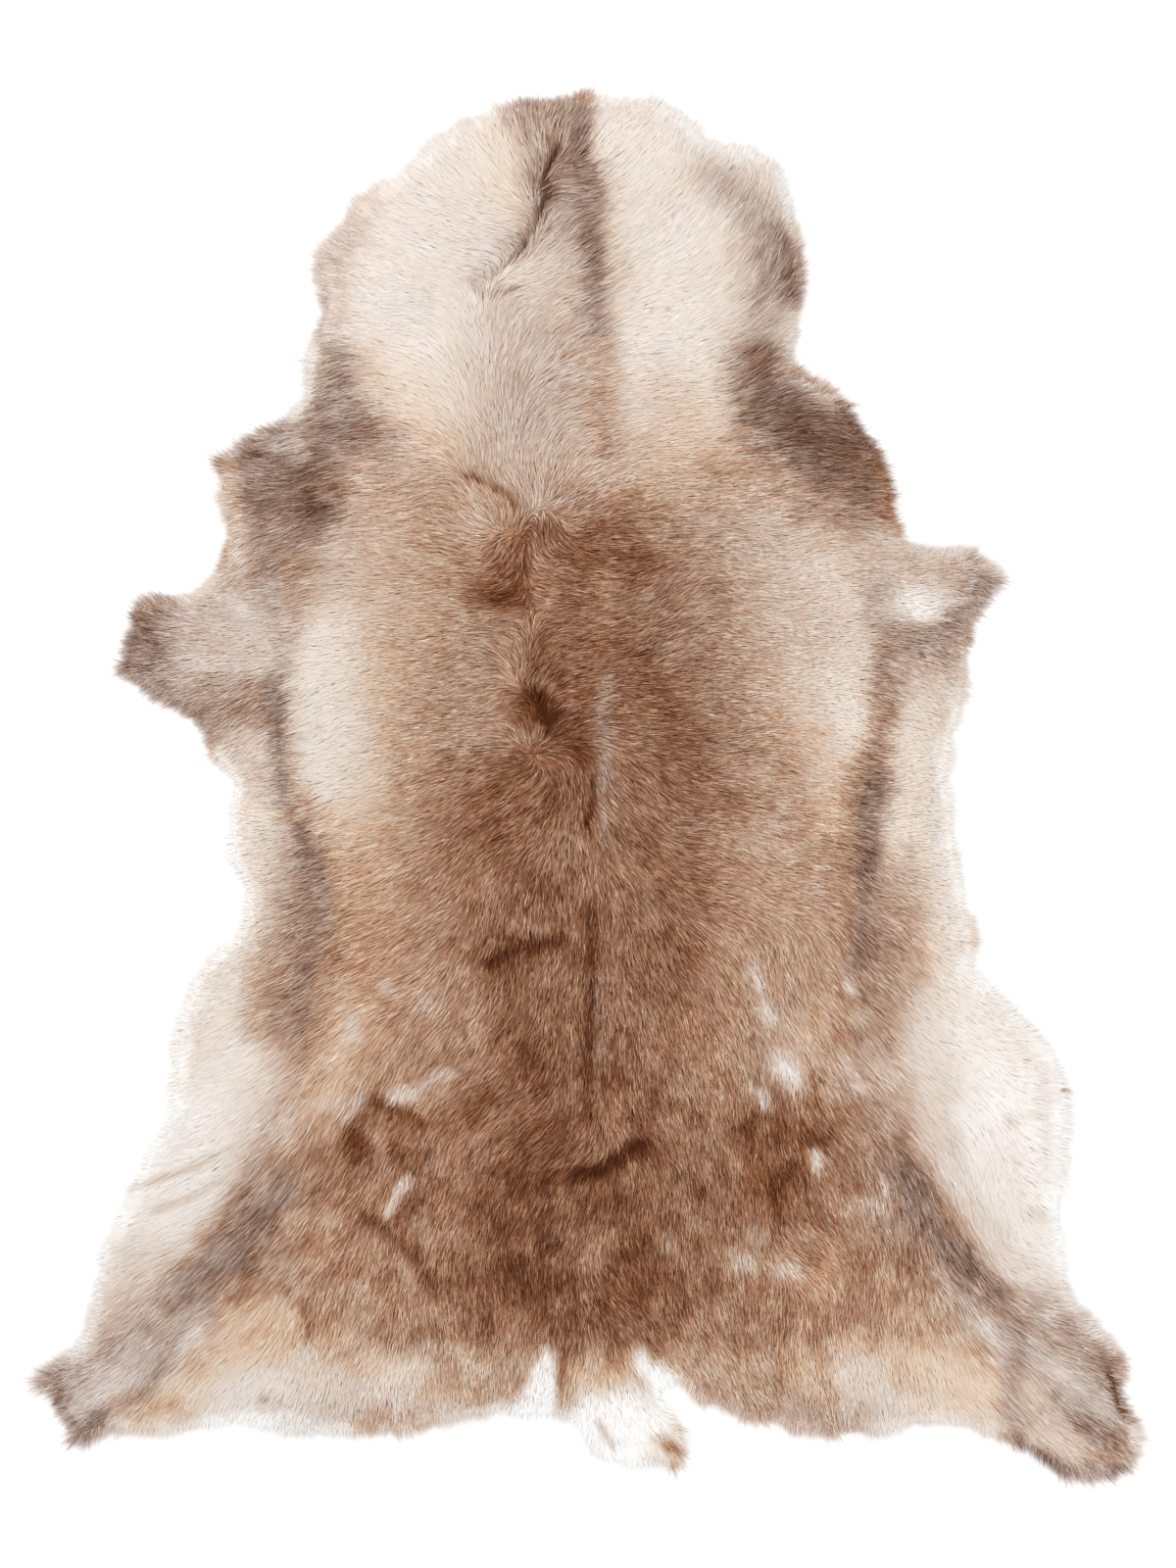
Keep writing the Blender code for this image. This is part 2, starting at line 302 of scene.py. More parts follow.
# Which way the hair lies, by part of the hide. A guide is x and y in millimetres and a heading in
# degrees, counter-clockwise from +X.
Lay = namedtuple("Lay", "name guides")
LAY = table(
    Lay,
    ("neck_left", (
        (-162, 516, 170), (-216, 489, 165), (-239, 426, 178), (-117, 584, 130), (-90, 615, 115),
        (-153, 435, -180), (-104, 480, 178), (-54, 579, 112), (-68, 512, 170), (-194, 548, 145),
    )),
    ("neck_mid", (
        (-8, 606, 55), (-17, 548, 5), (-36, 494, 38), (-68, 455, 12), (-18, 444, 25), (-27, 363, 20),
        (0, 336, 8),
    )),
    ("cowlick", (
        (-86, 417, 90), (-86, 363, 90), (-81, 300, 90), (-63, 395, 55), (-50, 327, 60),
        (-107, 408, 130), (-108, 336, 125), (-144, 354, 165),
    )),
    ("neck_right", (
        (36, 611, 30), (36, 543, 30), (81, 588, 45), (130, 566, 52), (175, 543, 58), (184, 485, 58),
        (130, 489, 46), (58, 462, 25), (121, 426, 38), (153, 381, 40), (45, 372, 12), (103, 345, 12),
    )),
    ("shoulder_left", (
        (-243, 381, -165), (-207, 336, -172), (-275, 327, -172), (-320, 296, 172), (-311, 255, -168),
        (-335, 215, -140), (-261, 246, -167), (-153, 282, -172),
    )),
    ("shoulder_right", (
        (190, 377, 15), (225, 354, 0), (261, 314, -10), (216, 291, -5), (270, 251, -12), (153, 300, 2),
        (81, 282, 2),
    )),
    ("foreleg_left", (
        (-302, 147, -178), (-360, 147, -180), (-410, 152, 172), (-416, 102, -168), (-360, 89, -157),
        (-320, 53, -140),
    )),
    ("foreleg_right", (
        (297, 210, 0), (346, 212, 5), (370, 190, -35), (315, 156, -8), (346, 138, -18), (319, 84, -22),
        (334, 39, -30),
    )),
    ("back_left", (
        (-270, 138, -174), (-198, 183, -174), (-108, 201, -178), (-90, 156, -172), (-117, 93, -165),
        (-72, 75, -148), (-180, 57, -170), (-261, 39, -164), (-108, 12, -157), (-72, -42, -142),
        (-162, -42, -158), (-252, -60, -154),
    )),
    ("whorls", (
        (-84, 252, 105), (-96, 238, 165), (-70, 246, 60), (-82, 222, -105), (-40, 270, 95),
        (-58, 268, 125), (-22, 262, 35), (-40, 244, -85), (-70, 112, 120), (-86, 98, -165),
        (-56, 106, 40), (-56, 52, 115), (-48, 48, 80), (-68, 32, -160), (-34, 28, -20),
    )),
    ("spine", (
        (-23, 192, -12), (-14, 138, 5), (-9, 84, 12), (-23, 53, 25), (-18, 3, -75), (-44, -2, -140),
        (-22, -24, -125), (10, -14, -60), (0, -42, -80),
        (1, -114, -90), (0, -213, -91), (-2, -294, -100),
    )),
    ("back_right", (
        (45, 228, 0), (81, 183, 22), (130, 206, -12), (180, 192, 6), (234, 165, 0), (72, 129, 12),
        (144, 138, -3), (216, 75, -6), (54, 57, 0), (144, 39, 2), (36, -15, -45), (108, -33, -14),
        (198, -24, -8), (234, 12, -8),
    )),
    ("loin_left", (
        (-270, -141, -148), (-207, -123, -158), (-144, -114, -145), (-90, -114, -98), (-50, -127, -92),
        (-189, -177, -155), (-135, -204, -128), (-81, -231, -115), (-180, -240, -120),
        (-243, -231, -139), (-108, -285, -138), (-54, -312, -148), (-32, -177, -108),
    )),
    ("loin_right", (
        (40, -87, -45), (117, -78, -15), (207, -78, -8), (261, -78, -30), (45, -177, -72),
        (108, -168, -58), (171, -177, -72), (234, -177, -48), (90, -276, -72), (171, -285, -88),
        (243, -276, -52), (36, -294, -72),
    )),
    ("belly_left", (
        (-320, -24, -175), (-311, -105, -168), (-338, -186, -160), (-365, -258, -155),
        (-311, -231, -146), (-378, -321, -155),
    )),
    ("belly_right", (
        (306, 12, -4), (319, -60, -12), (346, -136, -8), (297, -159, -38), (346, -195, -28),
        (405, -240, -6), (427, -294, -4), (351, -276, -48), (418, -348, -14), (369, -339, -72),
    )),
    ("haunch_left", (
        (-189, -312, -120), (-225, -357, -120), (-162, -357, -102), (-243, -420, -119),
        (-180, -438, -98), (-108, -384, -112), (-135, -483, -85), (-72, -456, -76),
    )),
    ("haunch_right", (
        (171, -348, -86), (234, -357, -72), (126, -411, -88), (207, -429, -32), (252, -465, -92),
        (171, -483, -94), (108, -510, -68), (216, -519, -78), (288, -438, -76), (279, -501, -80),
    )),
    ("rump", (
        (-36, -393, -106), (18, -379, -96), (-36, -474, -98), (0, -483, -77), (31, -474, -52),
        (55, -447, -84), (81, -483, -80), (-9, -339, -130), (45, -312, -68),
    )),
    ("hind_leg_left", (
        (-414, -393, -155), (-360, -375, -148), (-311, -348, -138), (-432, -456, -147),
        (-360, -465, -136), (-297, -420, -128), (-477, -532, -158), (-459, -577, -148),
        (-387, -546, -132), (-315, -510, -134), (-306, -573, -122), (-243, -501, -102),
        (-234, -573, -104), (-153, -564, -92), (-81, -546, -90),
    )),
    ("hind_leg_right", (
        (324, -339, -56), (369, -393, -60), (414, -420, -26), (342, -447, -52), (427, -469, -22),
        (387, -501, -36), (324, -528, -66), (270, -564, -80), (369, -564, -46), (468, -523, -25),
        (432, -564, -35), (490, -591, -42), (450, -618, -44), (387, -595, -42), (225, -573, -72),
        (153, -564, -62),
    )),
    ("tail", (
        (-9, -523, -98), (-20, -564, -92), (13, -573, -72), (49, -591, -48), (79, -604, -75),
        (-43, -537, -90), (61, -532, -60), (85, -555, -55),
    )),
)

# The coat's markings, painted in this order, part by part. A row is a stroke: its pigment, how much it
# hides, how far from its path it is half gone and the path itself, both in millimetres. Strokes end
# softly, apart from those marked FIRM.
SOFT, FIRM = 2, 6
Stroke = namedtuple("Stroke", "pigment cover half_width path edge", defaults=(SOFT,))
COAT = table(
    Stroke,
    # flanks
    ("tan", 1, 40, ((-150, 285), (-158, 200), (-160, 100), (-165, 0), (-178, -90))),
    ("sand", 0.9, 24, ((-188, 280), (-196, 160), (-198, 60), (-202, -20), (-212, -80))),
    ("beige", 0.9, 28, ((-238, 235), (-232, 190))),
    ("cream", 0.85, 26, ((-226, 150), (-226, 60), (-222, -20))),
    ("ivory", 1, 28, ((-250, 132), (-250, 70), (-238, 10))),
    ("ivory", 0.7, 14, ((-268, 120), (-268, 60))),
    ("honey", 0.6, 20, ((-225, -35), (-222, -75))),
    ("tan", 1, 32, ((140, 275), (150, 150), (152, 50), (160, -40))),
    ("beige", 0.9, 26, ((130, 250), (180, 225), (186, 150))),
    ("sand", 0.9, 24, ((190, 110), (206, 40), (216, -20))),
    ("cream", 0.95, 27, ((214, 200), (222, 130), (226, 60))),
    ("ivory", 0.9, 15, ((240, 178), (238, 100), (242, 45))),
    ("cream", 0.4, 14, ((224, 35), (220, 5))),
    ("beige", 0.4, 26, ((-185, 275), (-190, 170))),
    ("beige", 0.45, 24, ((140, 268), (168, 200))),
    ("ivory", 0.4, 20, ((214, 182), (220, 120))),
    ("linen", 0.55, 28, ((188, 190), (194, 110))),
    ("beige", 0.3, 20, ((128, 275), (140, 232))),
    ("silver", 0.35, 14, ((222, 242), (250, 234))),
    # back
    ("chestnut", 1, 40, ((22, 235), (34, 190))),
    ("chestnut", 1, 54, ((42, 160), (54, 100), (62, 30), (60, -60), (58, -140))),
    ("fawn", 0.6, 14, ((66, 240), (105, 190))),
    ("drab", 0.5, 46, ((85, 240), (98, 120), (112, 0), (104, -120))),
    ("chestnut", 0.7, 14, ((8, 292), (30, 282))),
    ("chestnut", 0.95, 52, ((-90, 10), (-78, -50), (-60, -130), (-45, -220))),
    ("chestnut", 0.6, 12, ((-128, -18), (-124, -90))),
    ("umber", 0.8, 13, ((22, 250), (28, 215), (46, 200))),
    ("umber", 0.6, 14, ((28, 128), (48, 105))),
    ("umber", 0.6, 22, ((62, 85), (88, 55), (85, 30))),
    ("umber", 0.6, 12, ((70, -8), (105, -14), (150, -20))),
    ("umber", 0.6, 20, ((60, -55), (85, -95), (120, -80))),
    ("umber", 0.55, 24, ((-60, -15), (-85, -40))),
    ("umber", 0.5, 14, ((-95, 20), (-105, 5))),
    ("umber", 0.6, 18, ((-50, -95), (-15, -120))),
    ("fawn", 0.7, 10, ((10, 188), (12, 150))),
    ("drab", 0.6, 7, ((16, 90), (18, 50), (14, 10), (16, -50))),
    ("drab", 0.4, 7, ((40, -18), (92, -24))),
    ("umber", 0.6, 13, ((-78, -8), (-40, -12), (-12, -6))),
    ("ash", 0.45, 5, ((10, 80), (17, 46), (12, 4))),
    ("ash", 0.4, 4, ((16, -18), (10, -44))),
    ("russet", 0.25, 26, ((-98, -15), (-108, -90))),
    # withers
    ("tan", 0.85, 34, ((-150, 258), (-85, 262))),
    ("tan", 0.5, 16, ((-135, 225), (-105, 218))),
    ("beige", 0.6, 14, ((-98, 245), (-84, 240))),
    ("ash", 0.8, 16, ((-50, 280), (-36, 258))),
    ("russet", 0.7, 6, ((-108, 284), (-88, 276), (-70, 262))),
    ("brown", 0.6, 20, ((-8, 290), (20, 268))),
    ("chestnut", 0.9, 24, ((-55, 215), (-30, 190), (-30, 130))),
    ("umber", 0.85, 17, ((-92, 182), (-76, 176), (-74, 212))),
    # Painted shade along the crease at the left of the withers.
    ("dark", 0.6, 7, ((-98, 176), (-82, 172), (-68, 182))),
    ("umber", 0.75, 12, ((-42, 232), (-18, 226), (-2, 208))),
    ("fawn", 0.6, 9, ((-44, 205), (-40, 170))),
    ("drab", 0.8, 30, ((-108, 125), (-95, 90), (-98, 60))),
    ("tan", 0.6, 24, ((-140, 165), (-130, 135))),
    ("beige", 0.35, 9, ((-125, 40), (-105, 45))),
    ("tan", 0.6, 7, ((-68, 112), (-70, 100))),
    ("umber", 0.85, 11, ((-40, 118), (-38, 104), (-28, 96))),
    ("umber", 1, 14, ((-54, 76), (-38, 62), (-14, 54), (-6, 30))),
    # Painted shade: the dark bottom of the withers pit, and in the next row the dark along the drop
    # beside it.
    ("dark", 1, 8, ((-54, 80), (-50, 67), (-40, 61)), FIRM),
    ("dark", 0.7, 6, ((-18, 52), (-10, 32))),
    ("drab", 0.5, 4, ((-30, 66), (-22, 48))),
    ("fawn", 0.6, 5, ((-40, 98), (-32, 84), (-20, 80))),
    ("beige", 0.4, 8, ((-62, 44), (-52, 40))),
    ("umber", 0.6, 10, ((0, 125), (-8, 100))),
    ("chestnut", 0.75, 13, ((6, 302), (26, 276))),
    ("sand", 0.4, 16, ((-144, 162), (-136, 138))),
    ("sand", 0.4, 12, ((-160, 42), (-156, 0))),
    ("beige", 0.35, 20, ((142, 250), (134, 205))),
    ("drab", 0.4, 10, ((150, -28), (200, 2))),
    ("tan", 0.35, 13, ((-70, 96), (-66, 84))),
    ("umber", 0.5, 12, ((-6, 84), (14, 66))),
    ("tan", 0.35, 22, ((185, 165), (200, 130))),
    ("sand", 0.3, 20, ((-210, -30), (-205, -80))),
    ("fawn", 0.5, 20, ((-106, 96), (-100, 60))),
    ("chestnut", 0.85, 14, ((10, 290), (30, 264))),
    ("umber", 0.7, 10, ((-34, 70), (-14, 48), (-2, 32))),
    ("umber", 0.5, 9, ((-48, 118), (-22, 108))),
    ("umber", 0.5, 12, ((26, 276), (34, 240), (60, 206))),
    ("ash", 0.4, 5, ((12, 98), (12, 50), (14, 0))),
    ("tan", 0.35, 7, ((216, 52), (170, 8), (122, -52))),
    ("linen", 0.35, 7, ((230, 38), (184, -6), (138, -62))),
    # base of the neck
    ("tan", 0.9, 32, ((-165, 290), (-60, 300), (60, 285), (130, 285))),
    ("beige", 0.95, 32, ((-165, 325), (-60, 330), (60, 330))),
    ("sand", 0.6, 18, ((70, 300), (110, 305))),
    ("honey", 0.3, 26, ((-60, 315), (30, 318))),
    # neck
    ("linen", 1, 108, ((-148, 530), (-145, 440)), FIRM),
    ("linen", 1, 102, ((95, 560), (95, 450)), FIRM),
    ("ivory", 1, 86, ((-158, 520), (-152, 425)), FIRM),
    ("cream", 1, 40, ((-152, 420), (-150, 388)), FIRM),
    ("ivory", 1, 84, ((99, 560), (101, 450), (88, 410)), FIRM),
    ("cream", 0.8, 32, ((85, 368), (80, 345))),
    ("linen", 0.75, 34, ((-120, 570), (-200, 515), (-222, 455))),
    ("pearl", 0.8, 36, ((-150, 480), (-170, 420))),
    ("cream", 0.6, 22, ((110, 500), (118, 440))),
    ("butter", 0.8, 15, ((-92, 590), (-78, 545))),
    ("butter", 0.35, 8, ((18, 605), (24, 560), (22, 500), (24, 430))),
    ("butter", 0.3, 14, ((60, 440), (95, 460), (130, 480))),
    ("butter", 0.4, 14, ((55, 520), (85, 548))),
    ("butter", 0.25, 12, ((-165, 470), (-135, 455), (-108, 440))),
    ("butter", 0.45, 22, ((-185, 400), (-150, 355))),
    ("honey", 0.7, 18, ((-165, 335), (-125, 305))),
    ("cream", 0.6, 20, ((125, 395), (95, 350))),
    ("beige", 0.5, 22, ((70, 360), (72, 335))),
    ("honey", 0.6, 16, ((90, 345), (75, 318))),
    ("beige", 1, 46, ((-50, 440), (-48, 370), (-50, 330))),
    ("ash", 0.4, 24, ((-45, 400), (-48, 350))),
    ("beige", 0.8, 24, ((-20, 500), (-20, 450))),
    ("linen", 0.8, 18, ((-68, 470), (-45, 455), (-30, 482))),
    ("sand", 0.5, 10, ((-20, 455), (-25, 430))),
    ("ivory", 1, 19, ((24, 644), (24, 590), (28, 550)), FIRM),
    ("ivory", 0.9, 22, ((-104, 608), (-92, 575))),
    ("butter", 0.7, 10, ((-84, 606), (-76, 560), (-72, 520))),
    ("taupe", 1, 28, ((-34, 628), (-28, 580), (-23, 540)), FIRM),
    ("beige", 0.5, 5, ((-66, 600), (-62, 560), (-60, 530))),
    ("taupe", 0.9, 9, ((-74, 616), (-56, 624))),
    ("taupe", 0.6, 8, ((-50, 600), (-49, 570), (-48, 540))),
    ("ash", 0.5, 13, ((-14, 525), (-12, 470), (-8, 410))),
    ("taupe", 0.6, 8, ((-28, 548), (-24, 520))),
    ("ash", 0.4, 8, ((-38, 520), (-50, 495))),
    ("taupe", 0.8, 6, ((-42, 526), (-58, 502), (-68, 488))),
    ("beige", 0.6, 8, ((-80, 480), (-95, 462))),
    ("pearl", 0.9, 9, ((-96, 488), (-104, 472), (-96, 458))),
    ("drab", 0.7, 20, ((-38, 612), (-30, 570))),
    ("slate", 0.9, 9, ((-6, 624), (-6, 590), (-4, 560)), FIRM),
    ("slate", 0.95, 10, ((-1, 562), (3, 500), (5, 455)), FIRM),
    ("slate", 0.8, 8, ((6, 452), (9, 418))),
    ("taupe", 0.8, 8, ((8, 425), (12, 395))),
    ("tan", 0.9, 11, ((14, 400), (15, 340), (12, 300))),
    ("drab", 0.4, 6, ((10, 400), (12, 350), (14, 300))),
    ("tan", 0.5, 5, ((-30, 399), (10, 397))),
    ("linen", 0.4, 30, ((-165, 560), (-120, 590))),
    ("beige", 0.3, 12, ((-215, 500), (-200, 540))),
    ("pearl", 0.35, 34, ((75, 510), (88, 410))),
    ("beige", 0.3, 13, ((-42, 605), (-38, 575))),
    ("beige", 0.35, 15, ((-218, 505), (-192, 496))),
    ("beige", 0.4, 13, ((-216, 420), (-204, 380))),
    ("linen", 0.5, 60, ((-150, 565), (-150, 470))),
    ("linen", 0.35, 30, ((-80, 460), (-50, 415))),
    ("beige", 0.4, 9, ((-18, 634), (-8, 626))),
    ("pearl", 0.4, 55, ((-165, 540), (-165, 440))),
    ("drab", 0.3, 16, ((-30, 600), (-12, 520))),
    # edges of the neck
    ("ash", 0.7, 15, ((112, 560), (136, 540), (150, 516))),
    ("ash", 0.6, 14, ((140, 530), (146, 480), (148, 450))),
    ("linen", 0.4, 7, ((178, 424), (190, 436))),
    ("taupe", 0.8, 11, ((158, 504), (166, 474), (162, 446))),
    ("linen", 0.7, 10, ((176, 424), (182, 402))),
    ("linen", 0.8, 12, ((140, 585), (165, 568), (184, 540))),
    ("slate", 0.95, 12, ((174, 504), (183, 480), (185, 450))),
    ("slate", 1, 20, ((150, 398), (156, 372), (170, 348))),
    ("taupe", 0.6, 9, ((152, 436), (148, 410))),
    ("coal", 0.7, 9, ((156, 398), (160, 376))),
    ("taupe", 0.7, 12, ((136, 385), (140, 352), (148, 330))),
    ("beige", 0.85, 15, ((-242, 445), (-236, 492), (-208, 545))),
    ("ash", 0.35, 10, ((-246, 450), (-236, 505))),
    ("beige", 0.6, 12, ((-205, 555), (-160, 585), (-120, 610))),
    ("ash", 0.8, 13, ((-234, 400), (-243, 440), (-244, 478))),
    ("ash", 0.5, 9, ((116, 548), (132, 526))),
    ("honey", 0.4, 13, ((-200, 388), (-184, 346))),
    ("drab", 0.3, 14, ((6, 560), (4, 470))),
    ("chestnut", 0.35, 16, ((152, 388), (152, 352))),
    ("beige", 0.6, 13, ((-236, 500), (-232, 470), (-226, 435), (-230, 405))),
    ("linen", 0.5, 12, ((142, 462), (134, 400))),
    ("beige", 0.6, 12, ((166, 430), (190, 420))),
    ("ash", 0.45, 12, ((-250, 430), (-246, 480), (-222, 530))),
    ("beige", 0.6, 12, ((-160, 590), (-110, 618), (-80, 628))),
    ("beige", 0.5, 12, ((20, 636), (60, 628), (110, 600))),
    ("ash", 0.5, 10, ((155, 428), (170, 424))),
    # shoulders
    ("slate", 1, 35, ((185, 338), (225, 309), (254, 284)), FIRM),
    ("coal", 0.95, 22, ((188, 325), (212, 312), (245, 312))),
    ("coal", 0.8, 9, ((238, 342), (262, 312), (272, 290))),
    ("linen", 0.6, 7, ((196, 372), (226, 356))),
    ("russet", 0.6, 8, ((268, 300), (276, 275), (275, 255))),
    ("drab", 0.8, 13, ((208, 256), (240, 244), (262, 238))),
    ("ash", 1, 40, ((-322, 300), (-290, 260)), FIRM),
    ("ash", 1, 20, ((-312, 318), (-262, 342)), FIRM),
    ("slate", 1, 27, ((-305, 290), (-284, 276), (-262, 246)), FIRM),
    ("drab", 0.5, 26, ((-290, 245), (-280, 215))),
    ("slate", 0.95, 20, ((-245, 305), (-225, 328), (-200, 326))),
    ("chestnut", 0.5, 9, ((-208, 328), (-190, 324))),
    ("coal", 0.8, 13, ((-254, 274), (-246, 248))),
    ("coal", 0.5, 5, ((-330, 294), (-306, 306), (-286, 320))),
    ("silver", 0.8, 8, ((-284, 318), (-268, 312))),
    ("taupe", 1, 18, ((-228, 345), (-230, 388))),
    ("linen", 0.8, 9, ((-268, 342), (-258, 372), (-256, 400))),
    ("linen", 0.8, 10, ((-336, 278), (-330, 240), (-322, 205))),
    ("slate", 0.5, 9, ((-302, 255), (-296, 215))),
    ("taupe", 0.8, 10, ((-300, 215), (-290, 185))),
    ("umber", 0.4, 15, ((236, 294), (250, 276))),
    ("chestnut", 0.5, 5, ((-342, 300), (-330, 296))),
    ("slate", 0.5, 10, ((188, 298), (200, 280))),
    ("ash", 0.5, 8, ((-338, 294), (-328, 280))),
    ("ash", 0.4, 8, ((-334, 242), (-330, 230))),
    ("tan", 0.75, 9, ((-332, 292), (-328, 258), (-330, 225))),
    ("beige", 0.5, 11, ((158, 316), (170, 304))),
    ("slate", 0.4, 9, ((194, 300), (206, 284))),
    ("slate", 0.5, 8, ((-300, 322), (-282, 326))),
    ("taupe", 0.4, 10, ((-240, 350), (-228, 340))),
    ("tan", 0.5, 11, ((-72, 238), (-96, 206))),
    # forelegs
    ("beige", 1, 32, ((326, 112), (322, 50)), FIRM),
    ("ash", 1, 34, ((300, 182), (368, 190)), FIRM),
    ("ash", 1, 52, ((-402, 128), (-325, 118)), FIRM),
    ("beige", 1, 48, ((-372, 128), (-325, 140)), FIRM),
    ("silver", 0.55, 34, ((-375, 140), (-325, 150))),
    ("beige", 0.8, 10, ((-400, 176), (-350, 182), (-325, 198))),
    ("pearl", 0.7, 5, ((-325, 172), (-305, 150), (-296, 128))),
    ("linen", 0.8, 20, ((-330, 130), (-300, 142))),
    ("linen", 0.9, 8, ((-348, 122), (-325, 116), (-296, 112))),
    ("taupe", 1, 17, ((-394, 158), (-398, 105))),
    ("slate", 1, 18, ((-414, 158), (-418, 106))),
    ("drab", 0.4, 7, ((-408, 165), (-395, 168))),
    ("ash", 0.9, 13, ((-395, 84), (-350, 54), (-315, 36))),
    ("drab", 0.6, 6, ((-355, 96), (-325, 100), (-300, 92))),
    ("drab", 0.95, 15, ((-346, 78), (-318, 76), (-294, 76))),
    ("beige", 0.85, 15, ((-318, 20), (-308, -12))),
    ("drab", 0.75, 11, ((-320, 50), (-304, 30))),
    ("ash", 0.7, 10, ((-284, 178), (-283, 140))),
    ("beige", 1, 22, ((258, 212), (345, 207)), FIRM),
    ("beige", 1, 22, ((275, 175), (330, 185)), FIRM),
    ("pearl", 1, 14, ((282, 170), (318, 164))),
    ("snow", 0.9, 8, ((286, 168), (308, 162))),
    ("taupe", 0.9, 10, ((364, 192), (354, 174), (338, 150))),
    ("slate", 0.8, 4, ((352, 212), (366, 200), (374, 188))),
    ("taupe", 0.8, 13, ((328, 135), (300, 122), (272, 108))),
    ("ash", 0.7, 12, ((268, 180), (262, 150))),
    ("beige", 0.95, 22, ((325, 100), (318, 72))),
    ("beige", 0.7, 20, ((322, 84), (322, 20))),
    ("taupe", 0.9, 11, ((-418, 94), (-384, 74), (-356, 58))),
    ("drab", 0.6, 9, ((-318, 50), (-304, 42))),
    ("drab", 0.5, 9, ((330, 124), (322, 104))),
    ("beige", 0.6, 7, ((350, 208), (376, 198))),
    ("taupe", 0.5, 10, ((275, 144), (315, 140))),
    ("beige", 0.6, 6, ((284, 108), (288, 78))),
    ("ash", 0.3, 26, ((-395, 130), (-340, 120))),
    ("taupe", 0.8, 9, ((-424, 104), (-392, 84), (-362, 62))),
    ("linen", 0.5, 15, ((-368, 122), (-326, 106))),
    ("ash", 0.6, 11, ((-318, 50), (-300, 34))),
    ("coal", 0.35, 12, ((-416, 150), (-418, 112))),
    ("drab", 0.5, 9, ((300, 110), (302, 96))),
    ("beige", 0.5, 12, ((342, 70), (340, 50))),
    ("beige", 0.6, 7, ((372, 202), (380, 196))),
    ("beige", 0.3, 36, ((196, 160), (240, 145))),
    # bellies
    ("ivory", 1, 30, ((-314, 18), (-312, -60), (-318, -120), (-340, -180)), FIRM),
    ("snow", 0.7, 14, ((-337, -20), (-335, -90))),
    ("butter", 0.4, 11, ((-308, -20), (-315, -110), (-330, -165))),
    ("ivory", 1, 45, ((-352, -205), (-355, -260), (-368, -320)), FIRM),
    ("snow", 0.8, 26, ((-350, -290), (-388, -322))),
    ("pearl", 1, 46, ((-385, -345), (-415, -405), (-455, -475)), FIRM),
    ("pearl", 1, 26, ((-325, -310), (-355, -368), (-405, -425), (-450, -480)), FIRM),
    ("snow", 0.7, 20, ((-420, -360), (-445, -430), (-462, -480))),
    ("snow", 0.6, 30, ((-308, -262), (-345, -325), (-385, -372))),
    ("drab", 0.45, 3, ((-425, -368), (-385, -356), (-340, -338), (-308, -320))),
    ("drab", 0.4, 3, ((-395, -386), (-360, -372), (-318, -345))),
    ("beige", 0.25, 9, ((-330, -370), (-380, -430), (-430, -478))),
    ("cream", 1, 31, ((308, 52), (306, -20), (306, -75), (324, -140)), FIRM),
    ("linen", 0.7, 14, ((302, 88), (306, 62))),
    ("ivory", 0.8, 12, ((330, 35), (334, -60), (346, -130))),
    ("honey", 0.6, 14, ((312, -160), (324, -185))),
    ("ivory", 1, 55, ((352, -205), (388, -262), (388, -335)), FIRM),
    ("snow", 0.75, 36, ((362, -262), (398, -285))),
    ("snow", 0.8, 30, ((385, -310), (400, -350))),
    ("snow", 1, 48, ((362, -325), (398, -385), (425, -445)), FIRM),
    ("pearl", 0.8, 12, ((308, -235), (310, -290), (330, -345), (368, -408), (400, -440))),
    ("beige", 0.5, 7, ((318, -290), (330, -330))),
    ("linen", 0.6, 7, ((425, -315), (427, -345))),
    ("beige", 0.5, 5, ((402, -388), (425, -392))),
    ("drab", 0.8, 2, ((380, -303), (384, -304))),
    ("beige", 0.6, 1.5, ((384, -303), (412, -298))),
    ("linen", 0.4, 24, ((-338, -175), (-348, -250))),
    ("cream", 0.3, 30, ((-365, -370), (-410, -430))),
    ("cream", 0.35, 30, ((375, -350), (395, -400))),
    ("pearl", 1, 15, ((434, -250), (440, -330), (432, -385)), FIRM),
    ("beige", 0.45, 12, ((306, -300), (340, -370), (385, -430))),
    ("pearl", 0.6, 24, ((322, -228), (330, -292))),
    ("beige", 0.8, 14, ((-318, 34), (-302, 6))),
    ("beige", 0.5, 12, ((330, 55), (326, 12))),
    ("pearl", 0.45, 28, ((-310, -250), (-330, -320))),
    # bands
    ("taupe", 0.95, 8, ((-284, 95), (-284, 40), (-279, -10))),
    ("slate", 0.95, 12, ((-265, -40), (-254, -85), (-249, -140), (-252, -165))),
    ("slate", 0.6, 6, ((-286, 92), (-283, 50))),
    ("linen", 0.9, 10, ((-290, -40), (-289, -130))),
    ("beige", 0.8, 8, ((-277, -45), (-275, -115))),
    ("drab", 0.65, 19, ((-276, -120), (-280, -180), (-270, -232))),
    ("slate", 0.5, 9, ((-258, -170), (-262, -225))),
    ("tan", 0.6, 9, ((-304, -165), (-306, -225))),
    ("ivory", 0.95, 18, ((-308, -245), (-308, -285), (-320, -326))),
    ("drab", 0.95, 9, ((268, 100), (270, 50), (265, 10))),
    ("slate", 0.95, 10, ((263, 0), (256, -60), (250, -115), (246, -160))),
    ("drab", 0.8, 16, ((264, -110), (270, -160), (256, -235))),
    ("cream", 0.8, 8, ((284, -20), (286, -55))),
    ("drab", 0.75, 14, ((286, -82), (290, -130), (284, -180))),
    ("tan", 0.6, 12, ((282, -112), (290, -150), (296, -185))),
    ("slate", 0.5, 7, ((262, -128), (254, -165))),
    ("beige", 0.9, 22, ((266, -250), (290, -285))),
    ("linen", 0.9, 14, ((308, -200), (308, -255), (316, -310), (332, -350))),
    ("beige", 0.6, 6, ((273, -30), (269, -90))),
    ("beige", 0.4, 6, ((292, -60), (292, -110))),
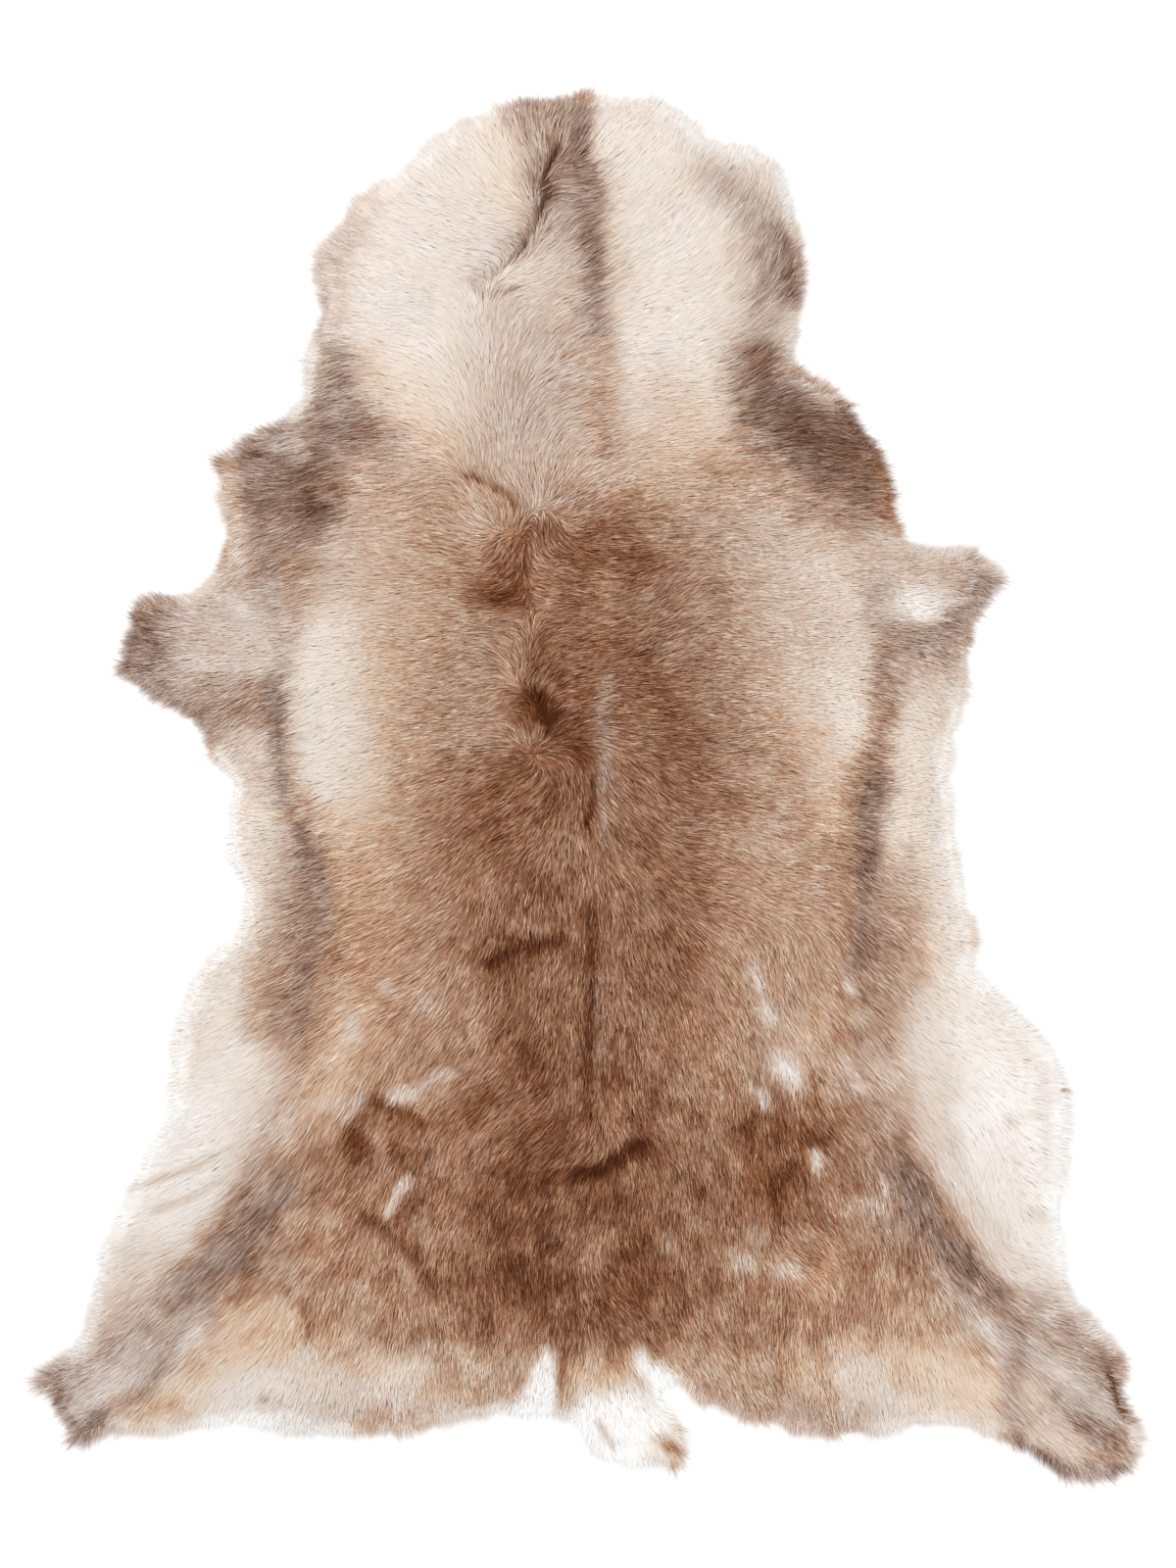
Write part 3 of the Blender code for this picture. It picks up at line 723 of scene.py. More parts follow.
    ("taupe", 0.5, 4, ((275, 0), (274, -30))),
    ("drab", 0.4, 12, ((-262, -60), (-258, -140), (-268, -220))),
    ("linen", 0.6, 11, ((310, -262), (312, -284))),
    ("beige", 0.5, 7, ((300, -60), (301, -105))),
    ("cream", 0.5, 6, ((278, -42), (276, -70))),
    # lower back
    ("fawn", 0.9, 38, ((-150, -110), (-145, -200), (-130, -270))),
    ("ochre", 0.85, 28, ((-205, -95), (-200, -160), (-205, -220))),
    ("fawn", 0.8, 32, ((140, -80), (145, -160), (125, -240))),
    ("chestnut", 0.8, 30, ((70, -130), (76, -210), (60, -270))),
    ("umber", 0.5, 14, ((80, -145), (84, -185))),
    ("ochre", 0.5, 20, ((88, -222), (108, -252))),
    ("tan", 0.85, 32, ((190, -80), (200, -150), (195, -210))),
    ("sand", 0.5, 12, ((216, -208), (232, -245))),
    ("beige", 0.6, 20, ((178, -232), (222, -262))),
    ("honey", 0.75, 19, ((-215, -215), (-235, -275), (-254, -292))),
    ("umber", 0.9, 42, ((-40, -240), (-38, -300), (-45, -380))),
    ("umber", 0.8, 8, ((1, -115), (0, -200), (-3, -300))),
    ("ash", 0.4, 5, ((8, -170), (6, -230), (4, -290))),
    ("umber", 0.5, 18, ((-20, -110), (-70, -155))),
    ("umber", 0.6, 14, ((-55, -148), (-90, -170))),
    ("umber", 0.6, 30, ((36, -280), (40, -345))),
    ("umber", 0.65, 20, ((-58, -262), (-106, -302))),
    ("fawn", 0.55, 20, ((-112, -205), (-84, -250))),
    ("sand", 0.5, 10, ((-205, -250), (-196, -262))),
    ("sand", 0.6, 16, ((196, -228), (206, -286))),
    ("brown", 0.6, 12, ((92, -255), (98, -268))),
    ("fawn", 0.4, 16, ((-34, -180), (-30, -225))),
    ("fawn", 0.4, 16, ((-150, -130), (-120, -168))),
    ("linen", 0.4, 9, ((140, -258), (160, -262))),
    ("fawn", 0.4, 10, ((32, -236), (38, -248))),
    ("linen", 0.65, 14, ((-302, -285), (-296, -325))),
    ("beige", 0.5, 13, ((-272, -282), (-268, -325))),
    ("chestnut", 0.4, 7, ((3, -110), (4, -200), (2, -290))),
    ("beige", 0.4, 12, ((-284, -128), (-282, -156))),
    # haunches and rump
    ("russet", 0.85, 32, ((-180, -320), (-158, -385))),
    # Painted shade in the pit at the top of the left haunch, in this row and in the dark row two below
    # it.
    ("umber", 0.9, 12, ((-213, -316), (-210, -340))),
    ("tan", 0.4, 14, ((-245, -318), (-232, -328))),
    ("dark", 0.7, 6, ((-214, -322), (-208, -337))),
    ("umber", 0.7, 8, ((-158, -330), (-150, -355))),
    ("brown", 0.8, 30, ((-262, -340), (-240, -400), (-215, -455))),
    ("drab", 0.9, 24, ((-290, -372), (-292, -430))),
    ("ochre", 0.7, 14, ((-262, -405), (-238, -425))),
    ("tan", 0.5, 20, ((-205, -440), (-215, -490))),
    ("brown", 0.8, 28, ((-140, -440), (-130, -490))),
    ("umber", 0.95, 46, ((-55, -390), (-60, -450), (-38, -488))),
    ("umber", 0.95, 34, ((50, -395), (50, -475))),
    ("dark", 0.5, 12, ((60, -440), (34, -470), (20, -482))),
    ("brown", 0.6, 12, ((8, -395), (-2, -430))),
    ("chestnut", 0.8, 30, ((100, -345), (108, -395), (118, -440))),
    ("chestnut", 0.7, 24, ((125, -455), (140, -488))),
    ("umber", 0.95, 26, ((165, -312), (172, -350), (170, -390))),
    ("russet", 0.6, 16, ((150, -340), (158, -365))),
    ("dark", 0.9, 9, ((172, -362), (176, -384))),
    ("dark", 0.8, 5, ((198, -316), (206, -322))),
    ("dark", 0.6, 4, ((140, -309), (154, -301))),
    ("chestnut", 0.8, 20, ((212, -310), (228, -350), (222, -395))),
    ("drab", 0.85, 22, ((272, -310), (278, -350), (290, -400))),
    ("ochre", 0.6, 16, ((218, -440), (208, -470))),
    ("ochre", 0.7, 12, ((270, -450), (274, -482), (296, -478))),
    ("ochre", 0.35, 26, ((-205, -395), (-190, -455))),
    ("ochre", 0.35, 26, ((200, -400), (205, -450))),
    ("tan", 0.5, 10, ((-224, -388), (-216, -402))),
    ("sand", 0.5, 10, ((-246, -306), (-236, -316))),
    # Painted shade along the rump crease.
    ("umber", 0.8, 9, ((26, -346), (54, -332))),
    ("dark", 0.45, 10, ((184, -314), (194, -345))),
    ("umber", 0.5, 8, ((-168, -352), (-160, -364))),
    ("umber", 0.5, 9, ((-104, -290), (-96, -300))),
    ("fawn", 0.5, 11, ((212, -388), (218, -402))),
    ("tan", 0.6, 12, ((-222, -484), (-216, -498))),
    ("chestnut", 0.6, 11, ((-162, -362), (-152, -398))),
    ("chestnut", 0.75, 12, ((184, -400), (198, -420))),
    ("umber", 0.6, 9, ((64, -470), (72, -490))),
    ("tan", 0.5, 14, ((-236, -498), (-200, -504))),
    ("ochre", 0.35, 20, ((128, -430), (150, -450))),
    ("umber", 0.5, 10, ((-12, -300), (30, -305))),
    ("brown", 0.5, 14, ((176, -400), (240, -375))),
    ("umber", 0.5, 8, ((-158, -394), (-152, -406))),
    ("dark", 0.35, 16, ((168, -320), (172, -380))),
    ("brown", 0.4, 10, ((-295, -446), (-268, -468))),
    ("chestnut", 0.5, 18, ((-200, -312), (-172, -350), (-165, -388))),
    ("umber", 0.6, 5, ((-206, -394), (-180, -416), (-150, -446), (-138, -462))),
    ("umber", 0.6, 8, ((-74, -498), (-52, -506))),
    ("umber", 0.45, 11, ((90, -262), (86, -280))),
    ("umber", 0.45, 11, ((204, -274), (218, -288))),
    ("umber", 0.5, 8, ((-162, -366), (-156, -402))),
    ("umber", 0.4, 9, ((-270, -404), (-268, -416))),
    ("fawn", 0.6, 9, ((82, -532), (78, -548))),
    ("beige", 0.6, 9, ((-58, -526), (-52, -538))),
    ("linen", 0.6, 9, ((-30, -552), (-28, -572))),
    ("beige", 0.45, 15, ((-165, -540), (-138, -556))),
    ("beige", 0.4, 13, ((196, -556), (208, -566))),
    # hind legs
    ("linen", 1, 18, ((-420, -590), (-300, -585), (-62, -580)), FIRM),
    ("ash", 1, 60, ((-430, -540), (-480, -580)), FIRM),
    ("ash", 1, 55, ((425, -525), (480, -600)), FIRM),
    ("cream", 1, 27, ((-420, -562), (-330, -557), (-290, -556)), FIRM),
    ("linen", 1, 24, ((-290, -560), (-235, -556), (-160, -552))),
    ("tan", 0.7, 16, ((240, -506), (330, -512))),
    ("sand", 0.85, 22, ((225, -538), (345, -545), (368, -560))),
    ("honey", 0.8, 22, ((322, -518), (350, -560))),
    ("cream", 1, 26, ((250, -560), (300, -580), (350, -588)), FIRM),
    ("linen", 0.6, 8, ((265, -592), (330, -596))),
    ("slate", 0.9, 16, ((-292, -366), (-322, -420), (-366, -462))),
    ("drab", 0.6, 12, ((-300, -352), (-346, -425))),
    ("taupe", 0.8, 13, ((-330, -425), (-405, -484), (-462, -520), (-490, -538))),
    ("silver", 1, 16, ((-342, -486), (-380, -514), (-416, -540), (-463, -566))),
    ("pearl", 0.6, 8, ((-352, -498), (-378, -515))),
    ("pearl", 0.6, 8, ((-425, -545), (-455, -562))),
    ("slate", 0.8, 6, ((-497, -545), (-484, -550))),
    ("slate", 0.5, 4, ((-496, -556), (-480, -578), (-466, -594))),
    ("taupe", 0.8, 7, ((-470, -594), (-450, -586))),
    ("taupe", 0.8, 7, ((-448, -575), (-415, -562), (-390, -535), (-360, -480))),
    ("sand", 0.95, 17, ((-415, -578), (-370, -562), (-342, -530))),
    ("honey", 1, 17, ((-322, -486), (-298, -484), (-275, -486))),
    ("honey", 0.9, 22, ((-322, -525), (-285, -520))),
    ("butter", 0.7, 18, ((-358, -562), (-320, -535), (-240, -528))),
    ("snow", 0.9, 15, ((-340, -588), (-300, -582), (-265, -586))),
    ("pearl", 0.9, 13, ((-325, -558), (-290, -548), (-262, -542))),
    ("drab", 0.6, 4, ((-296, -560), (-284, -566))),
    ("chestnut", 0.9, 5, ((-278, -458), (-264, -470), (-254, -490), (-254, -506))),
    ("ochre", 0.6, 14, ((-238, -500), (-225, -520))),
    ("linen", 0.8, 12, ((-222, -535), (-240, -560), (-230, -585))),
    ("cream", 1, 15, ((-190, -536), (-150, -536))),
    ("tan", 0.8, 10, ((-216, -583), (-140, -580))),
    ("linen", 0.6, 11, ((-196, -558), (-130, -558))),
    ("linen", 0.8, 8, ((-270, -590), (-224, -590))),
    ("fawn", 0.5, 10, ((-130, -534), (-95, -532))),
    ("sand", 0.75, 14, ((-140, -554), (-80, -556))),
    ("linen", 0.6, 6, ((-134, -584), (-100, -578), (-62, -572))),
    ("tan", 0.8, 22, ((-115, -525), (-85, -535))),
    ("slate", 0.9, 11, ((290, -350), (306, -388), (324, -418), (350, -446))),
    ("coal", 0.6, 8, ((350, -432), (364, -455), (380, -462))),
    ("silver", 0.5, 9, ((316, -444), (345, -464))),
    ("tan", 0.6, 12, ((310, -470), (330, -490))),
    ("pearl", 0.9, 10, ((358, -490), (380, -504))),
    ("slate", 0.8, 9, ((376, -468), (394, -498), (404, -528))),
    ("taupe", 0.95, 8, ((386, -530), (386, -560), (392, -590))),
    ("ash", 0.7, 22, ((412, -476), (452, -508))),
    ("slate", 0.6, 7, ((344, -462), (358, -470))),
    ("silver", 1, 11, ((410, -516), (440, -540), (476, -570))),
    ("pearl", 0.6, 5, ((420, -528), (450, -550))),
    ("slate", 0.6, 5, ((455, -516), (470, -530))),
    ("beige", 0.7, 6, ((488, -536), (494, -556), (500, -574))),
    ("slate", 0.75, 8, ((404, -538), (440, -572), (478, -602))),
    ("drab", 0.9, 12, ((465, -612), (485, -606))),
    ("cream", 1, 14, ((404, -548), (420, -578), (440, -606))),
    ("slate", 0.85, 6, ((376, -584), (400, -604), (436, -628))),
    ("taupe", 0.9, 8, ((436, -630), (484, -628))),
    ("tan", 0.5, 8, ((455, -618), (480, -616))),
    ("linen", 0.7, 6, ((498, -590), (504, -606))),
    ("butter", 0.9, 20, ((310, -525), (350, -548))),
    ("cream", 0.9, 12, ((250, -518), (262, -530))),
    ("cream", 0.8, 12, ((236, -540), (262, -552), (290, -566))),
    ("beige", 0.6, 9, ((222, -572), (262, -584), (300, -592))),
    ("honey", 0.8, 13, ((192, -520), (208, -554))),
    ("tan", 0.6, 8, ((214, -535), (224, -568))),
    ("tan", 0.6, 14, ((225, -502), (250, -495))),
    ("sand", 0.6, 9, ((232, -512), (246, -506))),
    ("butter", 0.6, 9, ((272, -508), (290, -514))),
    ("drab", 0.8, 14, ((232, -585), (150, -572))),
    ("tan", 0.85, 18, ((90, -528), (130, -548), (170, -565))),
    ("beige", 0.65, 9, ((70, -548), (100, -562), (150, -584), (235, -596))),
    ("sand", 0.5, 8, ((310, -588), (372, -598))),
    ("taupe", 0.6, 6, ((-496, -546), (-484, -560))),
    ("silver", 0.5, 9, ((-388, -438), (-376, -458))),
    ("linen", 0.6, 14, ((-262, -522), (-246, -566))),
    ("honey", 0.7, 10, ((-206, -528), (-190, -532))),
    ("butter", 0.7, 11, ((300, -568), (368, -586))),
    ("linen", 0.6, 6, ((396, -584), (406, -598))),
    ("ash", 0.5, 10, ((-350, -470), (-340, -482))),
    ("ash", 0.5, 10, ((340, -474), (350, -486))),
    ("linen", 1, 20, ((-414, -440), (-438, -478), (-462, -506))),
    ("honey", 0.7, 7, ((76, -538), (92, -554))),
    ("beige", 0.8, 9, ((408, -566), (440, -598))),
    ("slate", 0.6, 8, ((338, -418), (366, -446))),
    ("taupe", 0.5, 9, ((378, -498), (392, -516))),
    ("linen", 0.7, 9, ((430, -464), (456, -486), (480, -512))),
    ("cream", 0.5, 12, ((-300, -545), (-240, -540))),
    ("linen", 0.6, 14, ((250, -545), (272, -575))),
    ("slate", 0.6, 5, ((462, -535), (474, -556))),
    ("linen", 0.5, 7, ((-150, -580), (-66, -574))),
    ("coal", 0.5, 4, ((470, -512), (484, -532), (486, -560))),
    ("silver", 0.6, 6, ((448, -534), (468, -556), (482, -582))),
    ("drab", 0.5, 8, ((-304, -330), (-330, -392))),
    ("fawn", 0.35, 9, ((-206, -590), (-150, -588), (-100, -574))),
    ("linen", 0.5, 9, ((184, -566), (200, -580))),
    ("tan", 0.5, 8, ((-58, -520), (-54, -534))),
    ("sand", 0.7, 10, ((296, -588), (372, -602))),
    ("ash", 0.4, 20, ((390, -545), (430, -560))),
    ("slate", 0.5, 6, ((468, -524), (482, -550))),
    ("linen", 0.5, 17, ((-412, -425), (-430, -462))),
    ("drab", 0.5, 6, ((456, -512), (478, -545), (490, -578))),
    ("beige", 0.45, 12, ((318, -590), (360, -592), (392, -594))),
    ("fawn", 0.25, 13, ((-330, -392), (-385, -445), (-436, -500))),
    ("fawn", 0.3, 12, ((396, -480), (446, -528))),
    # tail
    ("chestnut", 1, 17, ((-16, -498), (10, -506), (36, -498)), FIRM),
    ("sand", 0.7, 8, ((-6, -524), (14, -528), (36, -520))),
    ("white", 1, 42, ((18, -582), (46, -596)), FIRM),
    ("honey", 0.9, 9, ((-8, -538), (14, -542), (34, -536))),
    ("ochre", 0.7, 5, ((-20, -525), (-18, -560))),
    ("beige", 0.6, 3, ((10, -580), (22, -604))),
    ("honey", 0.8, 8, ((60, -612), (76, -606))),
    ("ochre", 0.8, 6, ((62, -596), (74, -594))),
    ("umber", 0.55, 5, ((72, -600), (80, -606), (82, -612))),
    ("white", 1, 15, ((-46, -532), (-46, -590)), FIRM),
    ("white", 1, 12, ((-52, -556), (-62, -592)), FIRM),
    ("snow", 1, 8, ((-40, -518), (-38, -530))),
    ("white", 1, 12, ((52, -530), (68, -550), (92, -568)), FIRM),
    ("snow", 1, 7, ((47, -518), (48, -530))),
    ("chestnut", 0.9, 4, ((58, -500), (60, -524))),
    ("beige", 0.5, 6, ((78, -608), (84, -616))),
    # white spots
    ("linen", 0.9, 6, ((-215, -214), (-212, -228))),
    ("linen", 0.5, 7, ((-228, -188), (-222, -192))),
    ("linen", 0.5, 6, ((-184, -180), (-178, -184))),
    ("linen", 0.4, 7, ((-148, -198), (-144, -204))),
    ("linen", 0.8, 4, ((-144, -264), (-124, -262))),
    ("linen", 0.9, 6, ((-178, -285), (-165, -282), (-152, -276))),
    ("linen", 0.9, 5, ((-212, -288), (-206, -286))),
    ("linen", 0.8, 5, ((-222, -303), (-219, -298))),
    ("linen", 0.5, 6, ((-246, -288), (-230, -290))),
    ("linen", 0.3, 9, ((-266, -302), (-260, -308))),
    ("fawn", 0.7, 6, ((-194, -320), (-188, -324))),
    ("fawn", 0.6, 6, ((-163, -318), (-157, -324))),
    ("beige", 0.5, 6, ((-202, -350), (-184, -346))),
    ("chestnut", 0.5, 14, ((-160, -375), (-178, -400))),
    ("linen", 1, 4.5, ((-167, -358), (-176, -371), (-186, -388))),
    ("beige", 0.5, 7, ((-147, -342), (-140, -348))),
    ("linen", 0.3, 7, ((-153, -402), (-149, -412))),
    ("linen", 0.5, 6, ((-174, -434), (-168, -444))),
    ("linen", 0.35, 7, ((-56, -128), (-42, -131))),
    ("linen", 0.8, 6, ((151, -170), (156, -180))),
    ("linen", 0.8, 4, ((237, -180), (240, -186))),
    ("linen", 1, 6.5, ((160, -202), (163, -212))),
    ("linen", 0.5, 6, ((248, -208), (250, -215))),
    ("fawn", 0.5, 7, ((168, -230), (172, -238))),
    ("pearl", 1, 10, ((173, -253), (187, -267))),
    ("linen", 0.9, 5, ((157, -281), (160, -290))),
    ("pearl", 1, 4, ((207, -334), (208, -345))),
    ("linen", 0.3, 8, ((86, -268), (92, -278))),
    ("linen", 0.5, 6, ((243, -268), (248, -276))),
    ("linen", 0.5, 7, ((146, -402), (160, -412))),
    ("linen", 0.6, 8, ((134, -432), (146, -432))),
    ("linen", 0.7, 7, ((176, -442), (188, -438))),
    ("linen", 0.35, 6, ((72, -412), (76, -420))),
    ("linen", 0.8, 3, ((269, -358), (272, -372))),
    ("linen", 0.6, 9, ((256, -382), (266, -390))),
)

# Sharp creases and pits in the pile: how deep they sink in millimetres, how much darker their bottom is
# with painted shade, where darker hair bases also show, how far from the path they are half as deep,
# and the path, both in millimetres.
Crease = namedtuple("Crease", "name depth shade half_width path")
CREASES = table(
    Crease,
    ("neck_slit", 6, 0.5, 2.6, ((-30, 585), (-37, 570), (-39, 559), (-34, 541))),
    ("neck_slit_foot", 5, 0.42, 2.6, ((-34, 541), (-43, 532), (-53, 518), (-61, 494))),
    ("neck_parting", 4, 0.32, 2.4, ((-61, 495), (-70, 484), (-84, 475), (-98, 467))),
    ("tuft_lip", 4, 0.24, 2.6, ((-106, 463), (-103, 453), (-86, 449), (-66, 454))),
    ("whorl_lip", 4, 0.22, 3, ((-112, 284), (-90, 276), (-74, 266), (-66, 256))),
    ("withers_left", 4, 0.1, 7, ((-92, 178), (-80, 172), (-68, 172))),
    ("withers_pit", 7, 0.22, 7, ((-47, 82), (-43, 67), (-30, 56))),
    ("withers_line", 4, 0.2, 2.6, ((-50, 34), (-36, 30), (-28, 30))),
    ("withers_drop", 4, 0.05, 7, ((-16, 50), (-8, 30))),
    ("saddle_nick", 4, 0.3, 2.2, ((2, 8), (6, -6), (3, -18), (-2, -34))),
    ("loin_scallop", 4, 0.24, 5, ((-88, -162), (-70, -150), (-46, -143), (-22, -142))),
    ("spine_lower", 3, 0.16, 5, ((2, -112), (3, -180), (-1, -240), (0, -300))),
    ("rump_crease", 5, 0.38, 6, ((-12, -355), (14, -350), (34, -338), (48, -326))),
    ("haunch_top", 4, 0.2, 4, ((-205, -283), (-188, -291), (-165, -301), (-152, -310))),
    ("haunch_fold", 3, 0.12, 6, ((-204, -386), (-188, -402), (-165, -418), (-145, -446))),
    ("haunch_pit", 4, 0.16, 12, ((-214, -315), (-208, -336))),
    ("haunch_right", 4, 0.05, 12, ((180, -330), (176, -375))),
    ("foot_fold", 4, 0.42, 2.6, ((478, -533), (486, -555), (489, -569), (500, -584))),
    ("tail_left", 3, 0.12, 4, ((-22, -515), (-26, -545))),
)

# ---------------------------------------------------------------- camera, light and floor


def add_camera():
    data = bpy.data.cameras.new("camera")
    data.lens = LENS_MM
    data.sensor_width = SENSOR_MM
    camera = bpy.data.objects.new("camera", data)
    camera.location = (*VIEW_CENTRE, VIEW_HEIGHT * LENS_MM / SENSOR_MM)
    bpy.context.scene.collection.objects.link(camera)
    bpy.context.scene.camera = camera


def add_softbox(softbox):
    data = bpy.data.lights.new(softbox.name, "AREA")
    data.shape = "DISK"
    data.size = softbox.size
    data.energy = softbox.power
    lamp = bpy.data.objects.new(softbox.name, data)
    lamp.location = softbox.place
    lamp.rotation_euler = (-Vector(softbox.place)).to_track_quat("-Z", "Y").to_euler()
    lamp.visible_camera = False
    bpy.context.scene.collection.objects.link(lamp)


def add_studio():
    scene = bpy.context.scene
    scene.view_settings.view_transform = "Standard"
    world = bpy.data.worlds.new("studio")
    world.use_nodes = True
    sky = world.node_tree.nodes["Background"]
    sky.inputs["Color"].default_value = (1, 1, 1, 1)
    sky.inputs["Strength"].default_value = WORLD_STRENGTH
    scene.world = world
    for softbox in SOFTBOXES:
        add_softbox(softbox)


add_camera()

# ---------------------------------------------------------------- fields over the hide


def grid_axis(low, high):
    return np.arange(low - FIELD_MARGIN, high + FIELD_MARGIN + FIELD_STEP, FIELD_STEP)


AXIS_X = grid_axis(CAD_BOX[0][0], CAD_BOX[1][0])
AXIS_Y = grid_axis(CAD_BOX[0][1], CAD_BOX[1][1])
GRID_X, GRID_Y = np.meshgrid(AXIS_X, AXIS_Y)


def sample(field, x, y):
    """The field's value at each place, drawn between its grid points."""
    column = np.clip((x - AXIS_X[0]) / FIELD_STEP, 0, len(AXIS_X) - 1.001)
    row = np.clip((y - AXIS_Y[0]) / FIELD_STEP, 0, len(AXIS_Y) - 1.001)
    left, low = column.astype(int), row.astype(int)
    across, up = column - left, row - low
    return (
        field[low, left] * (1 - across) * (1 - up)
        + field[low, left + 1] * across * (1 - up)
        + field[low + 1, left] * (1 - across) * up
        + field[low + 1, left + 1] * across * up
    )


def blur(field, radius):
    """The field, smoothed by a bell curve of that radius."""
    reach = max(1, math.ceil(BLUR_REACH * radius / FIELD_STEP))
    weights = np.exp(-0.5 * (np.arange(-reach, reach + 1) * FIELD_STEP / radius) ** 2)
    weights /= weights.sum()
    for axis in (0, 1):
        padded = np.pad(field, [(reach, reach) if axis == k else (0, 0) for k in (0, 1)], mode="edge")
        size = field.shape[axis]
        field = sum(w * padded.take(range(i, i + size), axis=axis) for i, w in enumerate(weights))
    return field


def noise(layers):
    """Sum of smooth random fields, each with its own spread and size of blotches."""
    total = 0
    for layer in layers:
        field = blur(np.random.default_rng(layer.seed).standard_normal(GRID_X.shape), layer.size)
        total = total + layer.amount * (field / field.std())
    return total


def streaks(layers, length):
    """A random field, smeared along the lay of the hair, with unit spread."""
    source = noise(layers)
    total = source.copy()
    for sign in (-1, 1):
        x, y = GRID_X.copy(), GRID_Y.copy()
        for _ in range(round(length / 2 / FIELD_STEP)):
            along_x, along_y = sample(LAY_X, x, y), sample(LAY_Y, x, y)
            x += sign * FIELD_STEP * along_x
            y += sign * FIELD_STEP * along_y
            total += sample(source, x, y)
    total -= total.mean()
    return total / total.std()


def smooth_step(share):
    """An S-shaped rise from 0 to 1."""
    share = np.clip(share, 0, 1)
    return share * share * (3 - 2 * share)


def half_at(away, half_width, edge=SOFT):
    """A share that is 1 on a path and a half at that distance from it, in millimetres."""
    return 0.5 ** ((away / (half_width * MM)) ** edge)


def distance_to_path(x, y, path, closed=False):
    """Distance from each place to the nearest point of a path."""
    starts = path if closed else path[:-1]
    ends = np.roll(path, -1, axis=0) if closed else path[1:]
    nearest = np.full(x.shape, np.inf)
    for (x0, y0), (x1, y1) in zip(starts, ends):
        run, rise = x1 - x0, y1 - y0
        share = np.clip(((x - x0) * run + (y - y0) * rise) / (run * run + rise * rise), 0, 1)
        np.minimum(nearest, (x - x0 - share * run) ** 2 + (y - y0 - share * rise) ** 2, out=nearest)
    return np.sqrt(nearest)


def inside(x, y, loop):
    """Which places lie within a closed loop, by counting how often it crosses to one side."""
    result = np.zeros(x.shape, dtype=bool)
    for (x0, y0), (x1, y1) in zip(loop, np.roll(loop, -1, axis=0)):
        spans = (y0 > y) != (y1 > y)
        if y0 != y1:
            result ^= spans & (x < x0 + (x1 - x0) / (y1 - y0) * (y - y0))
    return result


def welded_solid():
    """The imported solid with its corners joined."""
    mesh = bmesh.new()
    mesh.from_mesh(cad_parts["hide"].data)
    bmesh.ops.remove_doubles(mesh, verts=mesh.verts, dist=WELD_DISTANCE)
    mesh.normal_update()
    return mesh


def solid_outline(mesh):
    """The points round the edge of the solid's flat underside, in order."""
    links = {}
    for edge in mesh.edges:
        lean = sorted(face.normal.z for face in edge.link_faces)
        if len(lean) == 2 and lean[0] < FACING_DOWN and abs(lean[1]) < HARDLY_FACING:
            for vert, other in (edge.verts, reversed(edge.verts)):
                links.setdefault(vert, []).append(other)
    start = next(iter(links))
    loop, before = [start], None
    while True:
        after = next(v for v in links[loop[-1]] if v is not before)
        if after is start:
            break
        before = loop[-1]
        loop.append(after)
    return np.array([(vert.co.x, vert.co.y) for vert in loop])


def solid_height(mesh):
    """Height of the solid's top over the field, smoothed over its facets."""
    tree = BVHTree.FromBMesh(mesh)
    top = CAD_BOX[1][2] + RAY_CLEARANCE
    every = round(SURFACE_STEP / FIELD_STEP)
    rows = []
    for y in AXIS_Y[::every]:
        hits = (tree.ray_cast((x, y, top), (0, 0, -1))[0] for x in AXIS_X[::every])
        rows.append([hit.z if hit else 0.0 for hit in hits])
    coarse = np.array(rows)
    row = (GRID_Y - AXIS_Y[0]) / FIELD_STEP / every
    column = (GRID_X - AXIS_X[0]) / FIELD_STEP / every
    low = np.clip(row.astype(int), 0, coarse.shape[0] - 2)
    left = np.clip(column.astype(int), 0, coarse.shape[1] - 2)
    up, across = row - low, column - left
    lower = coarse[low, left] * (1 - across) + coarse[low, left + 1] * across
    upper = coarse[low + 1, left] * (1 - across) + coarse[low + 1, left + 1] * across
    return lower * (1 - up) + upper * up


SOLID = welded_solid()
OUTLINE = solid_outline(SOLID)
EDGE = distance_to_path(GRID_X, GRID_Y, OUTLINE, closed=True)
EDGE[~inside(GRID_X, GRID_Y, OUTLINE)] *= -1
OUT_Y, OUT_X = (-slope for slope in np.gradient(blur(EDGE, LAY_BLUR), FIELD_STEP))
TOP = solid_height(SOLID)
SOLID.free()


def hair_lay():
    """Unit direction in which the hair lies, drawn between the guides."""
    x_sum, y_sum = np.zeros_like(GRID_X), np.zeros_like(GRID_X)
    for lay in LAY:
        for x, y, heading in lay.guides:
            away = (GRID_X - x * MM) ** 2 + (GRID_Y - y * MM) ** 2
            weight = (away + GUIDE_CORE**2) ** -GUIDE_FALL
            x_sum += weight * math.cos(math.radians(heading))
            y_sum += weight * math.sin(math.radians(heading))
    size = np.hypot(x_sum, y_sum)
    x_sum, y_sum = blur(x_sum / size, LAY_BLUR), blur(y_sum / size, LAY_BLUR)
    heading = np.arctan2(y_sum, x_sum) + noise(LAY_TURN)
    return np.cos(heading), np.sin(heading)


LAY_X, LAY_Y = hair_lay()
FINE_STREAKS = streaks(FINE_FIBRES, FINE_FIBRE_LENGTH)
BROAD_STREAKS = streaks(BROAD_FIBRES, BROAD_FIBRE_LENGTH)
MOTTLE_STRENGTH = MOTTLE_BACK + MOTTLE_HAUNCH * smooth_step((HAUNCH_TOP - GRID_Y) / HAUNCH_RAMP)
MOTTLING = MOTTLE_STRENGTH * noise(MOTTLES)


def crease_share(crease, shift_x=0, shift_y=0):
    """How near each place is to a crease, from 1 on it down to 0."""
    away = distance_to_path(GRID_X + shift_x, GRID_Y + shift_y, np.array(crease.path) * MM)
    return half_at(away, crease.half_width)


